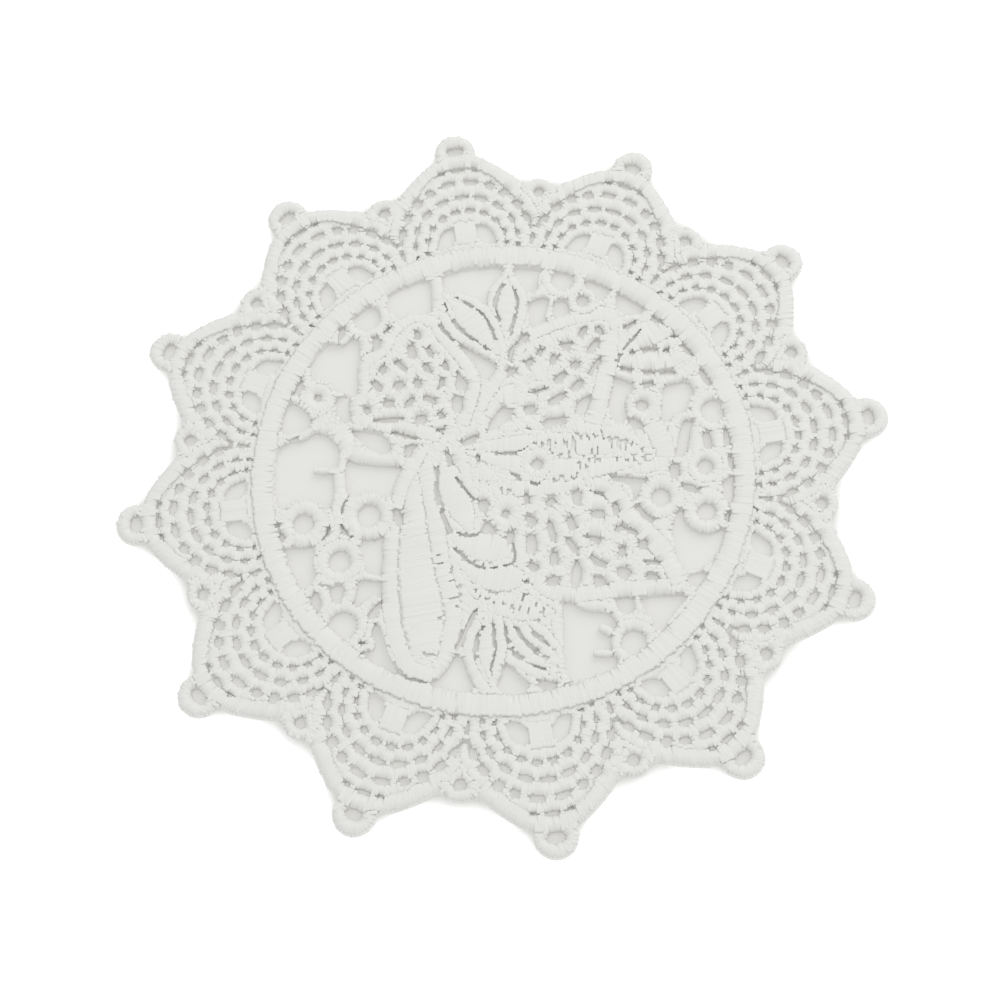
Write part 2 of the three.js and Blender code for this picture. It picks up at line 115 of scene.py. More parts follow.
# Leaves and body segments: base x, y, tip x, y, greatest width, bow of the middle line to the left
LEAVES = [
    (1.6, 20.0, -4.3, 30.2, 4.1, -0.5), (3.9, 22.8, 5.6, 31.9, 3.2, 0.0),
    (-5.4, -22.8, -6.4, -32.8, 2.8, 0.2), (20.2, 15.0, 32.4, 14.3, 3.9, 0.2),
    (21.0, 16.4, 31.0, 19.4, 4.6, 1.4), (-8.6, 4.4, -5.6, -10.2, 4.6, -0.5),
    (-9.2, -10.2, 1.0, -13.8, 5.0, 0.0), (-8.9, -13.6, 3.0, -18.5, 5.0, -0.8),
    (-7.6, -18.4, 5.4, -24.0, 4.6, -0.6),
]
SIDE_WING = (-6.8, 4.6, 25.2, -1.0, 8.4, -1.0)

# Columns of stitches along a leaf: middle and reach as shares of its half width, and the least
# half width that they are laid on
LEAF_COLUMNS = [(0, 1.0, 0.2)]
WING_COLUMNS = [(-0.5, 0.44, 0.4), (0.5, 0.44, 0.4)]
LEAF_END = 0.03

# Satin ribbons round the wings and leaves: width and the points that each runs through
RIBBONS = [
    (2.0, [(-9, 7), (-14, 9.2), (-20.3, 11.6), (-21, 14.5), (-19.4, 17.2)]),
    (1.8, [(-19.4, 17.2), (-18.9, 21), (-15.6, 23), (-13.5, 26), (-10, 28), (-7, 26.3)]),
    (2.0, [(-7.6, 27.2), (-4.6, 21.5), (-2.2, 16), (-5, 8.5)]),
    (2.2, [(-4.5, 8.5), (2.3, 16.5), (7.5, 21.8), (14, 23.8), (20, 23.8), (21.6, 21.5)]),
    (2.8, [(20.4, 23), (19.2, 16.5), (17, 10), (15, 5.8)]),
    (2.3, [(0, -3.2), (6, -3.9), (11, -3.5), (14, -2.2), (18, -2.3), (23.5, -2.6)]),
    (2.9, [(12.6, -4.0), (15.6, -4.8), (17.4, -8.4), (20.0, -12.8), (22.6, -17), (24.2, -21.6)]),
    (2.2, [(24.6, -22.3), (14, -21.6), (6.5, -21.2), (2, -17.5), (0.8, -13.5)]),
    (2.4, [(-12, 5.2), (-16, -1), (-18.3, -9), (-19.3, -20), (-18, -28.5), (-14.5, -30.6)]),
    (2.2, [(-14.5, -30.6), (-12.3, -28.6), (-11.1, -25.5), (-10.2, -22.5), (-10.2, -19), (-10.8, -14),
           (-11.3, -2), (-12, 5.2)]),
    (3.0, [(23.8, 4.4), (24.8, 1.6), (24.9, -1.2), (24.2, -3.4)]),
    (1.7, [(20.0, 13.9), (23.5, 12.0), (28.5, 11.4), (31.6, 12.6)]),
    (1.3, [(-5.4, 27.4), (-4.6, 25), (-3.4, 23.3), (-1.7, 21.8), (0.2, 20), (2.0, 18.2)]),
    (1.2, [(3.2, 18.5), (2.7, 22.5), (2.0, 26), (0.6, 28.2), (-1.4, 30), (-4.8, 31.0)]),
    (1.1, [(2.4, 27), (2.7, 29.8), (3.8, 31.8), (5.3, 33.2)]),
    (1.3, [(3.4, 18.6), (4.6, 20.8), (5.8, 23.4), (6.9, 25.8), (7.5, 28.4), (7.0, 31), (5.9, 33.2)]),
    (1.5, [(5.8, 32.6), (6.2, 35.9)]),
    (1.5, [(-6.2, -23.2), (-8.1, -26.2), (-8.8, -29), (-8.1, -31.8), (-6.9, -34.2)]),
    (1.3, [(-3.7, -23.4), (-3.6, -26), (-3.8, -28.6), (-4.9, -31.2), (-6.2, -33.8)]),
    (1.6, [(-6.5, -32.6), (-6.6, -35.8)]),
    (1.3, [(-2.6, -23.2), (-2.0, -25.8), (-0.9, -28.3), (1.2, -30.8), (3.4, -32.8)]),
    (1.4, [(-1.8, -22.9), (-0.4, -24.6), (0.9, -27), (2.6, -29.3), (4.0, -31.4)]),
    (1.2, [(-0.6, -23.6), (1.4, -25.2), (3.2, -27), (4.2, -29)]),
    (1.3, [(-3.2, -29.4), (-1.6, -30.9), (1.0, -32.7), (3.8, -33.8)]),
    (1.8, [(4.4, -20.4), (5.3, -24), (4.7, -28), (4.2, -31), (4.6, -34.4)]),
]

# Threads laid right across the lower left wing: their reach in Y, and the wing's middle line in X
# at some distances down
FILLING_FROM = -3.0
FILLING_TO = -28.5
FILLING_PITCH = 0.42
FILLING_DOWN = [3, 12, 20, 28]
FILLING_MIDDLE = [-13.9, -14.4, -14.7, -14.9]
FILLING_HALF = 3.1
FILLING_ACROSS = (1, 0.04)
FILLING_SPREAD = 0.05

# Large gaps of the medallion, each by its corners
GAPS = [
    # Upper left
    [(-13.8, 32.4), (-11.5, 33.5), (-8.0, 34.3), (-6.6, 34.0), (-7.1, 28.1), (-9.0, 28.4),
     (-12.4, 27.7), (-13.9, 29.8)],
    [(-4.8, 34.9), (0, 35.3), (5.4, 34.8), (4.4, 32.9), (2.0, 31.2), (1.8, 28.1), (0.5, 29.8),
     (-1.5, 31.0), (-4.8, 31.6)],
    [(-21.8, 28.6), (-20.9, 27.5), (-21.6, 26.2), (-22.6, 25.2), (-22.2, 27.2)],
    [(-27.4, 20.5), (-27.2, 23.2), (-25.6, 24.6), (-23.6, 25.9), (-21.8, 24.7), (-20.2, 26.1),
     (-19.0, 25.2), (-19.4, 22.5), (-20.2, 18.5), (-20.2, 16.4), (-21.4, 16.2), (-22.4, 17.2),
     (-25.2, 17.2), (-26.8, 18.3)],
    [(-29.1, 21.0), (-28.6, 19.4), (-29.3, 17.9), (-30.9, 17.4), (-29.9, 19.0)],
    [(-31.6, 16.7), (-30.1, 16.1), (-28.9, 14.5), (-28.1, 12.2), (-30.0, 11.4), (-33.2, 11.2),
     (-32.6, 14.4)],
    [(-34.2, 8.2), (-33.0, 9.9), (-29.6, 9.8), (-27.9, 11.0), (-26.2, 10.2), (-24.9, 8.4), (-24.4, 6.4),
     (-25.2, 4.4), (-26.0, 3.4), (-26.0, 0.2), (-27.2, -2.6), (-28.0, -1.2), (-33.5, -0.6),
     (-34.9, -1.2), (-35.0, 3.0)],
    [(-23.6, 5.9), (-22.4, 4.8), (-18.5, 3.7), (-14.6, 2.8), (-15.5, 0.2), (-16.5, -2.6), (-17.6, -2.5),
     (-18.6, -0.9), (-23.4, -0.9), (-24.3, 1.0)],
    [(-23.9, 16.5), (-22.0, 16.3), (-22.3, 13.8), (-21.9, 11.7), (-23.1, 11.5), (-24.2, 13.6)],
    [(-22.5, 10.5), (-20.2, 9.8), (-18.2, 9.2), (-17.0, 8.2), (-16.3, 6.2), (-17.8, 5.4), (-20.0, 7.0),
     (-21.6, 8.9)],
    [(-14.4, 6.3), (-12.9, 6.6), (-11.7, 5.6), (-12.6, 4.7), (-14.4, 4.2)],
    [(-17.1, 25.7), (-16.0, 25.6), (-15.9, 24.4), (-15.2, 23.4), (-16.6, 23.0), (-18.6, 21.8),
     (-17.0, 23.6)],
    [(-13.3, 27.2), (-12.9, 26.1), (-13.9, 25.3), (-14.3, 24.2), (-15.0, 25.2), (-14.8, 26.7)],
    [(-4.1, 22.2), (-2.9, 21.8), (-0.9, 19.8), (1.5, 18.2), (1.3, 16.0), (-0.2, 15.1), (-1.8, 16.6),
     (-2.2, 18.8)],
    [(-4.5, 17.9), (-4.0, 16.6), (-2.8, 14.4), (-3.6, 13.8), (-5.4, 14.6), (-4.9, 16.2)],
    [(-10.6, 8.0), (-8.6, 8.5), (-7.5, 8.3), (-8.8, 7.1), (-9.6, 6.4), (-10.6, 6.6)],
    [(-6.3, 5.3), (-4.2, 4.9), (-2.4, 6.2), (-3.4, 6.5), (-5.0, 6.0)],
    [(-0.8, 8.3), (1.1, 10.4), (3.3, 10.2), (2.6, 8.6), (0.4, 7.2), (-1.5, 6.7)],
    # Upper right
    [(6.9, 34.4), (8.5, 34.0), (11.3, 33.4), (10.4, 32.0), (10.2, 29.7), (8.6, 29.2), (7.8, 31.4),
     (7.1, 33.0)],
    [(8.4, 27.8), (10.4, 28.5), (11.7, 28.1), (11.0, 26.2), (10.3, 24.6), (12.7, 23.3), (10.5, 22.8),
     (7.9, 22.4), (8.0, 25.0)],
    [(12.3, 27.6), (14.5, 27.2), (14.2, 24.2), (13.6, 23.5), (12.0, 23.8), (11.7, 25.0)],
    [(17.7, 30.5), (19.6, 29.9), (21.7, 28.3), (21.0, 27.2), (19.5, 26.1), (18.6, 27.6), (17.8, 29.0)],
    [(22.1, 27.3), (23.6, 26.9), (24.4, 25.6), (26.3, 24.0), (25.6, 22.8), (23.0, 23.2), (21.8, 24.6)],
    [(27.0, 22.6), (28.2, 21.4), (29.2, 19.8), (30.5, 18.0), (29.4, 18.2), (28.0, 19.6), (26.9, 21.4)],
    [(18.4, 13.4), (20.3, 12.6), (22.2, 11.3), (22.1, 10.3), (20.8, 9.6), (20.3, 8.0), (20.3, 6.0),
     (19.4, 5.1), (18.0, 5.6), (17.7, 8.0), (18.2, 11.0)],
    [(26.4, 10.4), (30.8, 10.6), (31.3, 8.4), (30.2, 7.4), (29.8, 5.6), (27.2, 5.2), (26.6, 4.1),
     (25.4, 4.6), (26.0, 6.2)],
    [(28.8, 4.3), (30.5, 3.6), (29.6, 2.4), (28.8, -0.4), (27.6, -2.1), (26.8, -1.9), (27.2, 0.6),
     (28.0, 2.4)],
    [(12.9, 9.3), (14.2, 10.3), (15.4, 10.5), (14.6, 8.6), (13.5, 7.0), (12.5, 7.8)],
    [(7.4, 7.5), (10.0, 7.5), (11.2, 7.7), (10.8, 6.2), (8.0, 5.8), (7.1, 6.2)],
    [(11.6, 20.0), (14.3, 20.1), (13.6, 18.9), (12.9, 18.1)],
    # Lower left
    [(-34.5, -7.2), (-31.8, -7.8), (-29.9, -7.5), (-29.9, -9.0), (-30.4, -10.6), (-29.9, -12.6),
     (-31.4, -14.1), (-33.0, -14.1), (-33.6, -11.5), (-34.4, -9.0)],
    [(-22.9, -7.8), (-20.5, -8.2), (-19.1, -7.7), (-19.4, -9.2), (-20.0, -12.0), (-19.7, -14.1),
     (-20.8, -13.9), (-22.4, -13.4), (-22.4, -11.0)],
    [(-27.1, -4.7), (-27.5, -6.6), (-28.7, -7.1), (-28.3, -6.2), (-27.9, -5.4)],
    [(-25.6, -4.5), (-25.1, -5.8), (-23.8, -7.5), (-24.8, -6.9), (-25.7, -5.8)],
    [(-16.6, -3.4), (-16.0, -4.2), (-16.1, -6.3), (-17.9, -7.0), (-17.2, -5.6), (-17.0, -4.2)],
    [(-30.2, -14.6), (-29.7, -16.4), (-29.5, -17.4), (-30.3, -18.7), (-31.0, -17.4), (-31.1, -15.6)],
    [(-28.3, -14.7), (-26.4, -14.3), (-25.9, -15.4), (-26.6, -16.9), (-27.8, -17.3), (-28.1, -16.0)],
    [(-23.8, -14.1), (-21.8, -14.5), (-19.9, -15.1), (-20.2, -17.2), (-20.9, -17.6), (-21.8, -16.8),
     (-23.2, -17.4), (-24.2, -18.5), (-24.9, -17.8), (-24.1, -16.0)],
    [(-20.3, -17.7), (-21.0, -19.2), (-21.4, -20.5), (-22.7, -20.7), (-22.7, -19.4), (-21.6, -18.6)],
    [(-21.8, -21.2), (-21.0, -22.4), (-20.7, -25.0), (-20.4, -27.0), (-19.3, -29.5), (-20.4, -29.4),
     (-22.2, -28.0), (-24.5, -26.3), (-24.6, -25.3), (-22.8, -25.6), (-22.0, -24.6), (-22.7, -22.6)],
    [(-11.0, -28.3), (-9.8, -28.2), (-9.4, -31.0), (-8.6, -33.9), (-11.5, -33.2), (-15.3, -31.9),
     (-13.0, -30.6)],
    [(-3.4, -7.7), (-2.3, -9.0), (-2.1, -10.0), (-4.5, -10.1), (-4.4, -9.1)],
    [(-4.3, -4.3), (-2.7, -4.3), (-2.6, -6.0), (-3.6, -6.7), (-4.4, -5.8)],
    # Lower right
    [(-3.9, -30.3), (-2.6, -31.4), (-1.0, -33.2), (-0.4, -34.4), (-1.2, -35.3), (-4.5, -35.0),
     (-5.2, -33.4), (-4.0, -32.0)],
    [(0.7, -33.8), (3.5, -33.7), (3.7, -34.6), (2.4, -35.5), (0.9, -34.9)],
    [(6.4, -21.8), (7.9, -22.9), (9.6, -24.2), (12.6, -24.8), (13.7, -26.0), (13.5, -27.6),
     (12.6, -27.9), (12.9, -33.2), (10.6, -34.1), (6.0, -34.5), (4.8, -33.4), (5.2, -29.0),
     (5.9, -25.0)],
    [(14.1, -22.8), (17.0, -23.0), (16.8, -25.3), (15.4, -25.7), (14.3, -24.6)],
    [(17.4, -23.2), (25.5, -23.8), (23.6, -25.4), (21.4, -27.4), (20.2, -28.9), (19.4, -28.6),
     (19.0, -26.6), (18.2, -25.0)],
    [(25.3, -10.7), (26.5, -10.1), (26.6, -12.4), (27.6, -14.0), (29.5, -14.6), (32.1, -14.1),
     (32.0, -15.4), (30.6, -17.8), (29.0, -19.7), (26.4, -20.1), (24.2, -19.7), (24.4, -16.5),
     (24.2, -13.6), (24.9, -12.0)],
    [(25.3, -20.7), (27.0, -20.6), (28.5, -20.8), (27.2, -22.3), (26.0, -22.8), (25.1, -21.8)],
    [(15.6, -2.9), (17.0, -3.4), (20.1, -4.1), (22.0, -4.6), (20.5, -5.6), (20.0, -7.7), (19.1, -7.6),
     (19.5, -5.8), (18.0, -4.7), (16.2, -3.8)],
    [(13.1, -4.6), (14.5, -4.2), (15.3, -5.6), (16.1, -6.7), (14.4, -6.3), (12.9, -5.4)],
    [(19.6, -8.4), (20.3, -8.9), (20.7, -10.2), (22.2, -11.3), (21.4, -11.6), (19.9, -10.3),
     (19.3, -9.3)],
    [(26.9, -6.1), (28.6, -6.5), (29.7, -7.9), (28.4, -7.9), (26.9, -7.4)],
    [(33.1, -6.7), (34.9, -5.7), (34.7, -8.0), (33.8, -10.8), (33.0, -9.6)],
    [(11.3, -18.7), (13.0, -19.4), (13.5, -20.4), (12.4, -21.7), (10.9, -22.4), (10.8, -21.6),
     (11.5, -20.4)],
    [(9.4, -15.8), (9.9, -17.6), (9.3, -20.1), (7.9, -20.2), (8.3, -18.0), (8.9, -16.6)],
    [(11.5, -15.2), (12.3, -16.0), (14.2, -17.4), (12.9, -18.0), (11.5, -16.6)],
    [(10.7, -12.3), (13.2, -12.7), (13.5, -13.6), (12.7, -14.2), (11.9, -13.1)],
    [(2.7, -7.6), (4.2, -8.4), (4.1, -9.6), (3.0, -10.2), (2.7, -9.0)],
    [(2.3, -10.8), (3.8, -11.1), (3.7, -13.6), (2.8, -14.5), (2.1, -13.4)],
    [(15.1, -18.0), (16.4, -18.1), (17.5, -19.2), (15.8, -20.3), (15.1, -19.4)],
]

# Stubs and bars inside the large gaps: x, y, length, width, direction
BARS = [(-27.0, 4.3, 4.2, 1.0, -10), (12.1, -27.5, 2.5, 1.4, -38), (11.3, -31.0, 3.8, 1.0, -7)]

# Small gaps in the stitching: x, y, length, width, direction
SMALL_GAPS = [
    # Upper left wing
    (-9.9, 24.7, 2.0, 0.9, 92), (-11.2, 22.0, 2.8, 1.4, 92), (-8.4, 21.5, 2.2, 0.9, 108),
    (-16.1, 19.8, 1.6, 1.1, 62), (-13.1, 19.8, 2.9, 0.9, -50), (-9.2, 18.8, 2.1, 1.0, 108),
    (-6.3, 18.7, 2.0, 0.9, 95), (-17.3, 17.1, 2.2, 1.0, 125), (-13.9, 16.7, 1.7, 1.4, 10),
    (-11.0, 16.5, 1.6, 1.2, 100), (-7.3, 15.8, 2.3, 0.8, 75), (-19.3, 13.3, 1.3, 0.8, 110),
    (-15.8, 13.8, 2.0, 1.4, -10), (-12.6, 13.5, 2.1, 1.1, 40), (-9.5, 13.5, 2.3, 1.0, -38),
    (-5.4, 12.1, 3.1, 1.5, 80), (-16.2, 11.1, 4.8, 0.8, -5), (-11.3, 10.4, 1.8, 1.6, 0),
    (-8.1, 10.5, 1.7, 0.9, 112), (-14.2, 8.0, 4.1, 0.6, -27), (-21.2, 16.5, 1.6, 0.8, 20),
    (-7.8, 3.1, 2.8, 0.7, 100), (-3.4, 2.7, 0.9, 0.6, 90),
    # Upper right wing
    (6.6, 21.6, 2.0, 1.1, 48), (3.8, 16.3, 1.6, 1.3, 30), (4.2, 19.3, 2.6, 0.6, 72),
    (5.2, 20.7, 1.6, 0.6, 32), (6.8, 17.4, 1.9, 1.2, 35), (8.7, 18.9, 1.6, 0.8, 55),
    (10.6, 17.3, 2.2, 0.9, 72), (11.4, 17.5, 1.4, 0.5, 35), (15.9, 21.4, 2.4, 1.0, 50),
    (18.5, 21.2, 1.9, 1.0, 92), (17.1, 18.6, 2.9, 1.1, 48), (13.8, 15.9, 1.7, 1.3, 40),
    (16.8, 15.2, 3.6, 0.8, 50), (11.1, 14.1, 2.6, 1.1, 36), (7.5, 12.3, 3.0, 0.6, 14),
    (13.6, 12.4, 2.5, 1.3, 38), (10.1, 10.6, 3.2, 1.2, 26), (5.7, 9.4, 2.0, 1.6, 0),
    (5.1, 6.1, 1.1, 0.5, -25),
    # Right side
    (23.3, 21.3, 2.4, 0.7, 24), (21.6, 13.8, 2.2, 0.7, -26), (24.4, 10.9, 2.0, 0.8, 0),
    (22.9, 16.6, 0.8, 0.6, 0), (21.5, 4.6, 2.5, 1.4, -50), (31.9, 0.3, 2.9, 1.3, 92),
    (34.9, 0.2, 3.0, 0.9, 85), (33.3, 10.7, 3.5, 0.9, -72), (31.5, 15.6, 2.8, 0.8, -58),
    (24.9, 12.8, 1.8, 0.7, -8), (27.8, 12.4, 2.6, 0.6, -4), (25.6, 16.7, 2.6, 0.6, 0),
    (28.2, 16.2, 0.9, 0.6, 0), (26.2, -3.9, 2.7, 1.5, 80), (34.8, -3.9, 2.5, 0.9, 90),
    (33.0, -12.6, 1.9, 0.8, 68),
    # Body and lower right wing
    (3.1, -5.3, 2.0, 0.8, 90), (2.7, -16.2, 1.8, 1.3, -40), (1.4, -18.5, 0.9, 0.7, 90),
    (-0.1, -10.9, 1.8, 1.1, 75), (6.7, -6.2, 1.5, 1.2, 30), (6.2, -11.0, 3.7, 1.0, 95),
    (6.0, -15.3, 2.5, 1.2, 80), (5.4, -18.7, 2.1, 1.4, 10), (10.8, -6.2, 2.6, 1.4, 85),
    (9.4, -10.2, 2.5, 1.2, 100), (9.0, -13.7, 3.1, 1.0, -65), (13.6, -9.1, 2.2, 1.3, -10),
    (16.4, -8.7, 2.2, 0.8, 90), (16.4, -12.0, 1.8, 1.0, 30), (18.2, -12.7, 2.0, 0.8, -28),
    (16.3, -15.7, 1.7, 1.1, 75), (19.6, -15.0, 1.7, 1.3, 70), (20.6, -18.1, 2.4, 0.8, -14),
    (20.2, -20.2, 2.1, 0.8, -14),
    # Lower left wing
    (-11.2, -11.2, 0.6, 0.35, 0), (-11.2, -12.4, 0.7, 0.4, 0), (-11.1, -13.6, 0.7, 0.35, 0),
    (-9.5, -15.0, 1.2, 0.4, 70), (-9.8, -16.6, 0.8, 0.35, 0), (-8.9, -17.8, 0.6, 0.4, 40),
    (-9.3, -19.3, 1.8, 0.5, 8), (-9.4, -20.6, 0.8, 0.35, 20), (-12.1, -22.0, 1.0, 0.35, 0),
    (-14.6, -27.4, 1.8, 0.4, -8), (-13.6, -25.0, 1.4, 0.2, -8), (-13.5, -26.3, 1.0, 0.25, 0),
    # Bars on the left
    (-16.8, -5.2, 3.2, 1.0, 97), (-35.1, -3.5, 0.8, 0.6, 80), (-34.7, -5.4, 1.6, 0.6, -60),
    (-24.2, -24.1, 0.9, 0.6, 0), (-28.8, -14.3, 1.6, 0.5, -10),
    # Foot of the body
    (-6.3, -18.6, 0.8, 0.5, 45), (-4.9, -20.3, 0.8, 0.5, 20), (-3.8, -21.0, 0.7, 0.5, -30),
    (-2.6, -21.4, 0.6, 0.4, 20), (-5.7, -19.6, 0.6, 0.35, 20), (-4.3, -19.2, 0.5, 0.35, -40),
    (-3.2, -19.6, 0.5, 0.3, -20), (-1.2, -21.8, 0.7, 0.4, 60), (-1.1, -22.8, 0.5, 0.4, 0),
    (-0.1, -22.5, 0.6, 0.35, 90), (1.1, -22.8, 0.8, 0.3, 60), (2.5, -22.1, 1.1, 0.35, 50),
    (3.2, -23.3, 1.1, 0.5, 50), (2.5, -24.6, 0.8, 0.4, 20),
    # Bars at the bottom
    (5.8, -34.8, 1.8, 0.7, 0), (1.4, -29.3, 0.9, 0.6, 60), (2.6, -30.4, 1.0, 0.5, -40),
]

# Slits between stitched columns: a width and the points that each runs through
SLITS = [
    # The leaves at the top and right
    (0.7, [(-6.3, 25.9), (-5.3, 24.2), (-4.4, 22.8)]), (0.6, [(-4.1, 26.2), (-4.0, 25.8)]),
    (0.6, [(-3.3, 25.1), (-2.5, 23.8)]), (0.6, [(-2.2, 23.3), (-0.8, 22.2)]),
    (0.6, [(0.3, 21.2), (0.6, 20.3)]), (0.5, [(-3.0, 30.3), (-2.6, 30.1)]),
    (0.45, [(-1.7, 29.1), (-0.5, 28.1)]), (0.6, [(0.2, 27.6), (0.9, 26.5)]),
    (0.45, [(1.2, 26.0), (1.8, 24.2), (2.2, 22.0)]), (0.45, [(4.7, 31.4), (3.7, 29.9)]),
    (0.65, [(3.4, 29.4), (2.9, 28.4), (2.9, 27.5)]), (0.55, [(3.0, 27.1), (3.3, 25.2)]),
    (0.5, [(6.4, 30.3), (6.6, 28.2), (6.2, 26.4)]), (0.5, [(5.9, 25.8), (5.2, 24.0), (4.7, 22.4)]),
    (0.4, [(-4.9, 29.8), (-4.6, 28.1)]), (0.5, [(25.0, 20.3), (23.4, 18.8), (22.4, 18.0)]),
    (0.6, [(22.6, 18.1), (21.6, 17.2)]), (0.4, [(21.4, 16.6), (20.2, 15.3)]),
    # The body
    (0.5, [(-9.9, 2.0), (-10.1, 0.4)]), (0.6, [(-10.3, -0.6), (-10.5, -2.6), (-10.3, -4.2)]),
    (0.9, [(-10.0, -5.3), (-9.5, -7.2), (-8.9, -8.9)]),
    (0.6, [(-7.2, -0.1), (-5.4, -3.3), (-4.6, -4.3)]),
    (0.6, [(-8.0, -9.1), (-6.6, -9.8), (-4.8, -9.9)]),
    (0.6, [(-8.8, -11.5), (-7.1, -13.6), (-5.8, -14.8)]), (0.6, [(-5.4, -15.0), (-4.4, -15.4)]),
    (0.4, [(-3.6, -15.5), (-2.4, -15.5)]),
    (0.5, [(-1.8, -15.4), (-0.5, -15.3), (0.1, -14.5), (0.3, -12.4)]),
    (0.4, [(0.2, -21.0), (1.0, -20.4)]),
    # The leaves at the bottom
    (0.9, [(-6.8, -21.8), (-8.2, -23.9), (-9.3, -25.8), (-10.4, -27.2)]),
    (0.5, [(-5.9, -24.3), (-6.5, -25.0)]), (0.65, [(-6.9, -25.5), (-7.5, -27.2)]),
    (0.4, [(-7.6, -27.6), (-7.9, -29.4)]), (0.6, [(-4.4, -24.4), (-4.6, -26.2)]),
    (0.6, [(-4.6, -26.8), (-4.6, -28.0)]), (0.45, [(-4.8, -28.6), (-5.2, -29.8), (-5.8, -31.1)]),
    (0.55, [(-2.7, -25.0), (-2.8, -26.2)]), (0.5, [(-2.8, -26.8), (-2.6, -27.6)]),
    (0.6, [(-2.3, -28.4), (-1.8, -29.5), (-1.1, -30.1)]), (0.5, [(-1.2, -25.3), (-0.9, -25.8)]),
    (0.6, [(-0.9, -26.3), (-0.1, -27.6)]), (0.5, [(0.1, -28.0), (0.7, -28.8)]),
    (0.6, [(1.2, -26.6), (2.0, -27.4)]), (0.45, [(2.2, -27.7), (3.0, -28.4)]),
    (0.4, [(0.6, -31.5), (2.4, -32.0)]),
    # Wings and bars
    (0.6, [(-19.4, -29.3), (-18.3, -30.4)]), (0.5, [(-17.8, -30.6), (-16.6, -31.1)]),
    (0.5, [(-16.4, -31.3), (-15.8, -31.4)]), (0.5, [(-25.2, -3.2), (-24.9, -2.0), (-24.1, -1.0)]),
    (0.35, [(-31.9, 10.2), (-30.4, 10.6)]), (0.3, [(-0.5, 2.7), (2.2, 2.6), (3.7, 2.7), (4.3, 3.2)]),
    (0.5, [(1.4, -1.0), (2.6, -1.8)]), (0.6, [(4.2, -2.8), (5.2, -3.2)]),
]

# Comb slits of the side wing, between groups of its stitches: top x, y, bottom x, y
COMB = [
    (5.5, 3.7, 5.5, 3.3), (6.5, 3.8, 6.8, 2.8), (7.8, 3.8, 7.8, 2.8), (7.7, 2.4, 8.0, 1.4),
    (8.8, 3.8, 8.9, 3.1), (10.0, 3.8, 10.4, 2.4), (10.5, 2.0, 10.5, 0.4), (11.3, 3.9, 11.7, 0.9),
    (12.3, 4.5, 12.8, 3.3), (13.6, 4.1, 13.9, 2.9), (14.8, 3.9, 14.9, 3.1), (16.0, 4.3, 16.2, 2.6),
    (17.0, 3.0, 17.2, 1.0), (18.2, 2.8, 18.3, 0.9), (18.8, 2.2, 18.7, 1.6), (19.6, 2.2, 19.2, 0.4),
    (20.6, 1.6, 20.3, 0.8), (21.7, 0.6, 21.6, -0.1), (13.0, 1.4, 12.9, 0.5), (14.0, 1.3, 14.1, 0.7),
    (15.0, 1.4, 14.9, 0.7), (9.2, 1.3, 9.3, 0.8), (13.5, 0.0, 13.4, -0.6), (14.6, -0.2, 15.0, -0.8),
    (14.2, -0.7, 13.9, -1.2), (12.9, -0.8, 12.9, -1.7), (11.8, -0.6, 11.9, -1.5),
    (11.2, -2.2, 11.2, -2.9), (8.8, -2.3, 9.1, -2.9), (7.6, -2.4, 7.7, -3.3), (10.5, -2.6, 10.6, -3.2),
    (17.8, -0.5, 17.8, -1.4), (19.0, -1.0, 19.3, -1.5), (20.3, -0.9, 20.4, -1.5),
    (21.8, -1.0, 21.8, -1.6), (-0.6, -3.0, -0.6, -3.5), (0.7, -3.3, 0.7, -3.8),
]
COMB_WIDE = 0.2

# Slits at least this wide go through the ground, and small gaps up to this width don't
CUT_SLIT = 0.8
SHALLOW_GAP = 0.5

# The share of a slit's width that the stitches leave, and how far they stay inside the work
SLIT_SHARE = 0.7
THREAD_MARGIN = 0.08

# How outlines are drawn: corners of a round outline and of a small gap, how square a gap is (1 is
# an oval and less is squarer), how much of each side a rounded corner takes, and spacings
ROUND_SIDES = 24
SMALL_SIDES = 12
GAP_SQUARENESS = 0.7
CORNER_CUT = 0.2
LEAF_CORNERS = 17
RIBBON_SPACING = 0.8
SLIT_SPACING = 0.5
SPAN_STEPS = 20
HEADING_STEP = 0.1

# Heights of the thread work above the table
NET_TOP = 1.0
SATIN_TOP = 1.3
RING_TOP = 1.27
FILL_SINK = 0.015
STITCH_END = 0.42

# The net reaches its height this far inside its edge. Past this side angle its edge stays the same
NET_SLOPE = 0.6
NET_SIDE = 50
LEAST_OUT = 0.01

# Stitches: spacing, thickness, and how sharply they arch. Short ones arch less
PITCH = 0.45
THREAD_HALF_WIDE = 0.34
THREAD_HALF_HIGH = 0.08
ARCH_SHARPNESS = 5.5
FULL_ARCH_LENGTH = 1.4
LEAST_ARCH = 0.4

# How far a stitch falls at its ends: beside a gap, as a share of the way to its foot, and where it
# meets other work. The place that tells them apart is this far ahead of the end
GAP_FALL_SHARE = 0.7
BUTTED_FALL = 0.05
END_LOOK = 0.15

# How far ends go over their edge, and the spreads of ends, directions, heights and thickness
END_OVERLAP = 0.06
RAGGED = 0.07
RING_RAGGED = 0.12
LEAN = 0.03
CROWN_SPREAD = 0.01
THICKNESS_SPREAD = 0.05

# A stitch is laid where it gets this long and the work is this deep, also this far beside it
LEAST_STITCH = 0.45
LEAST_DEPTH = 0.05
BESIDE = 0.22
REACH_STEP = 0.1

# The grid is marked as covered at this spacing along a stitch, and this far to each side
COVER_STEP = 0.15
COVER_SIDES = (-0.17, 0, 0.17)

# Extra reach of the stitches of ribbons and eyelets, which makes sure that they meet the edge
BAND_EXTRA = 0.1

# Bare bars are filled from points this deep, and on while they are this deep and this wide
SEED_DEPTH = 0.24
SEED_RADIUS = 59
BARE_DEPTH = 0.12
BARE_RADIUS = 60
BARE_WIDTH = 0.4
BARE_REACH = 1.7

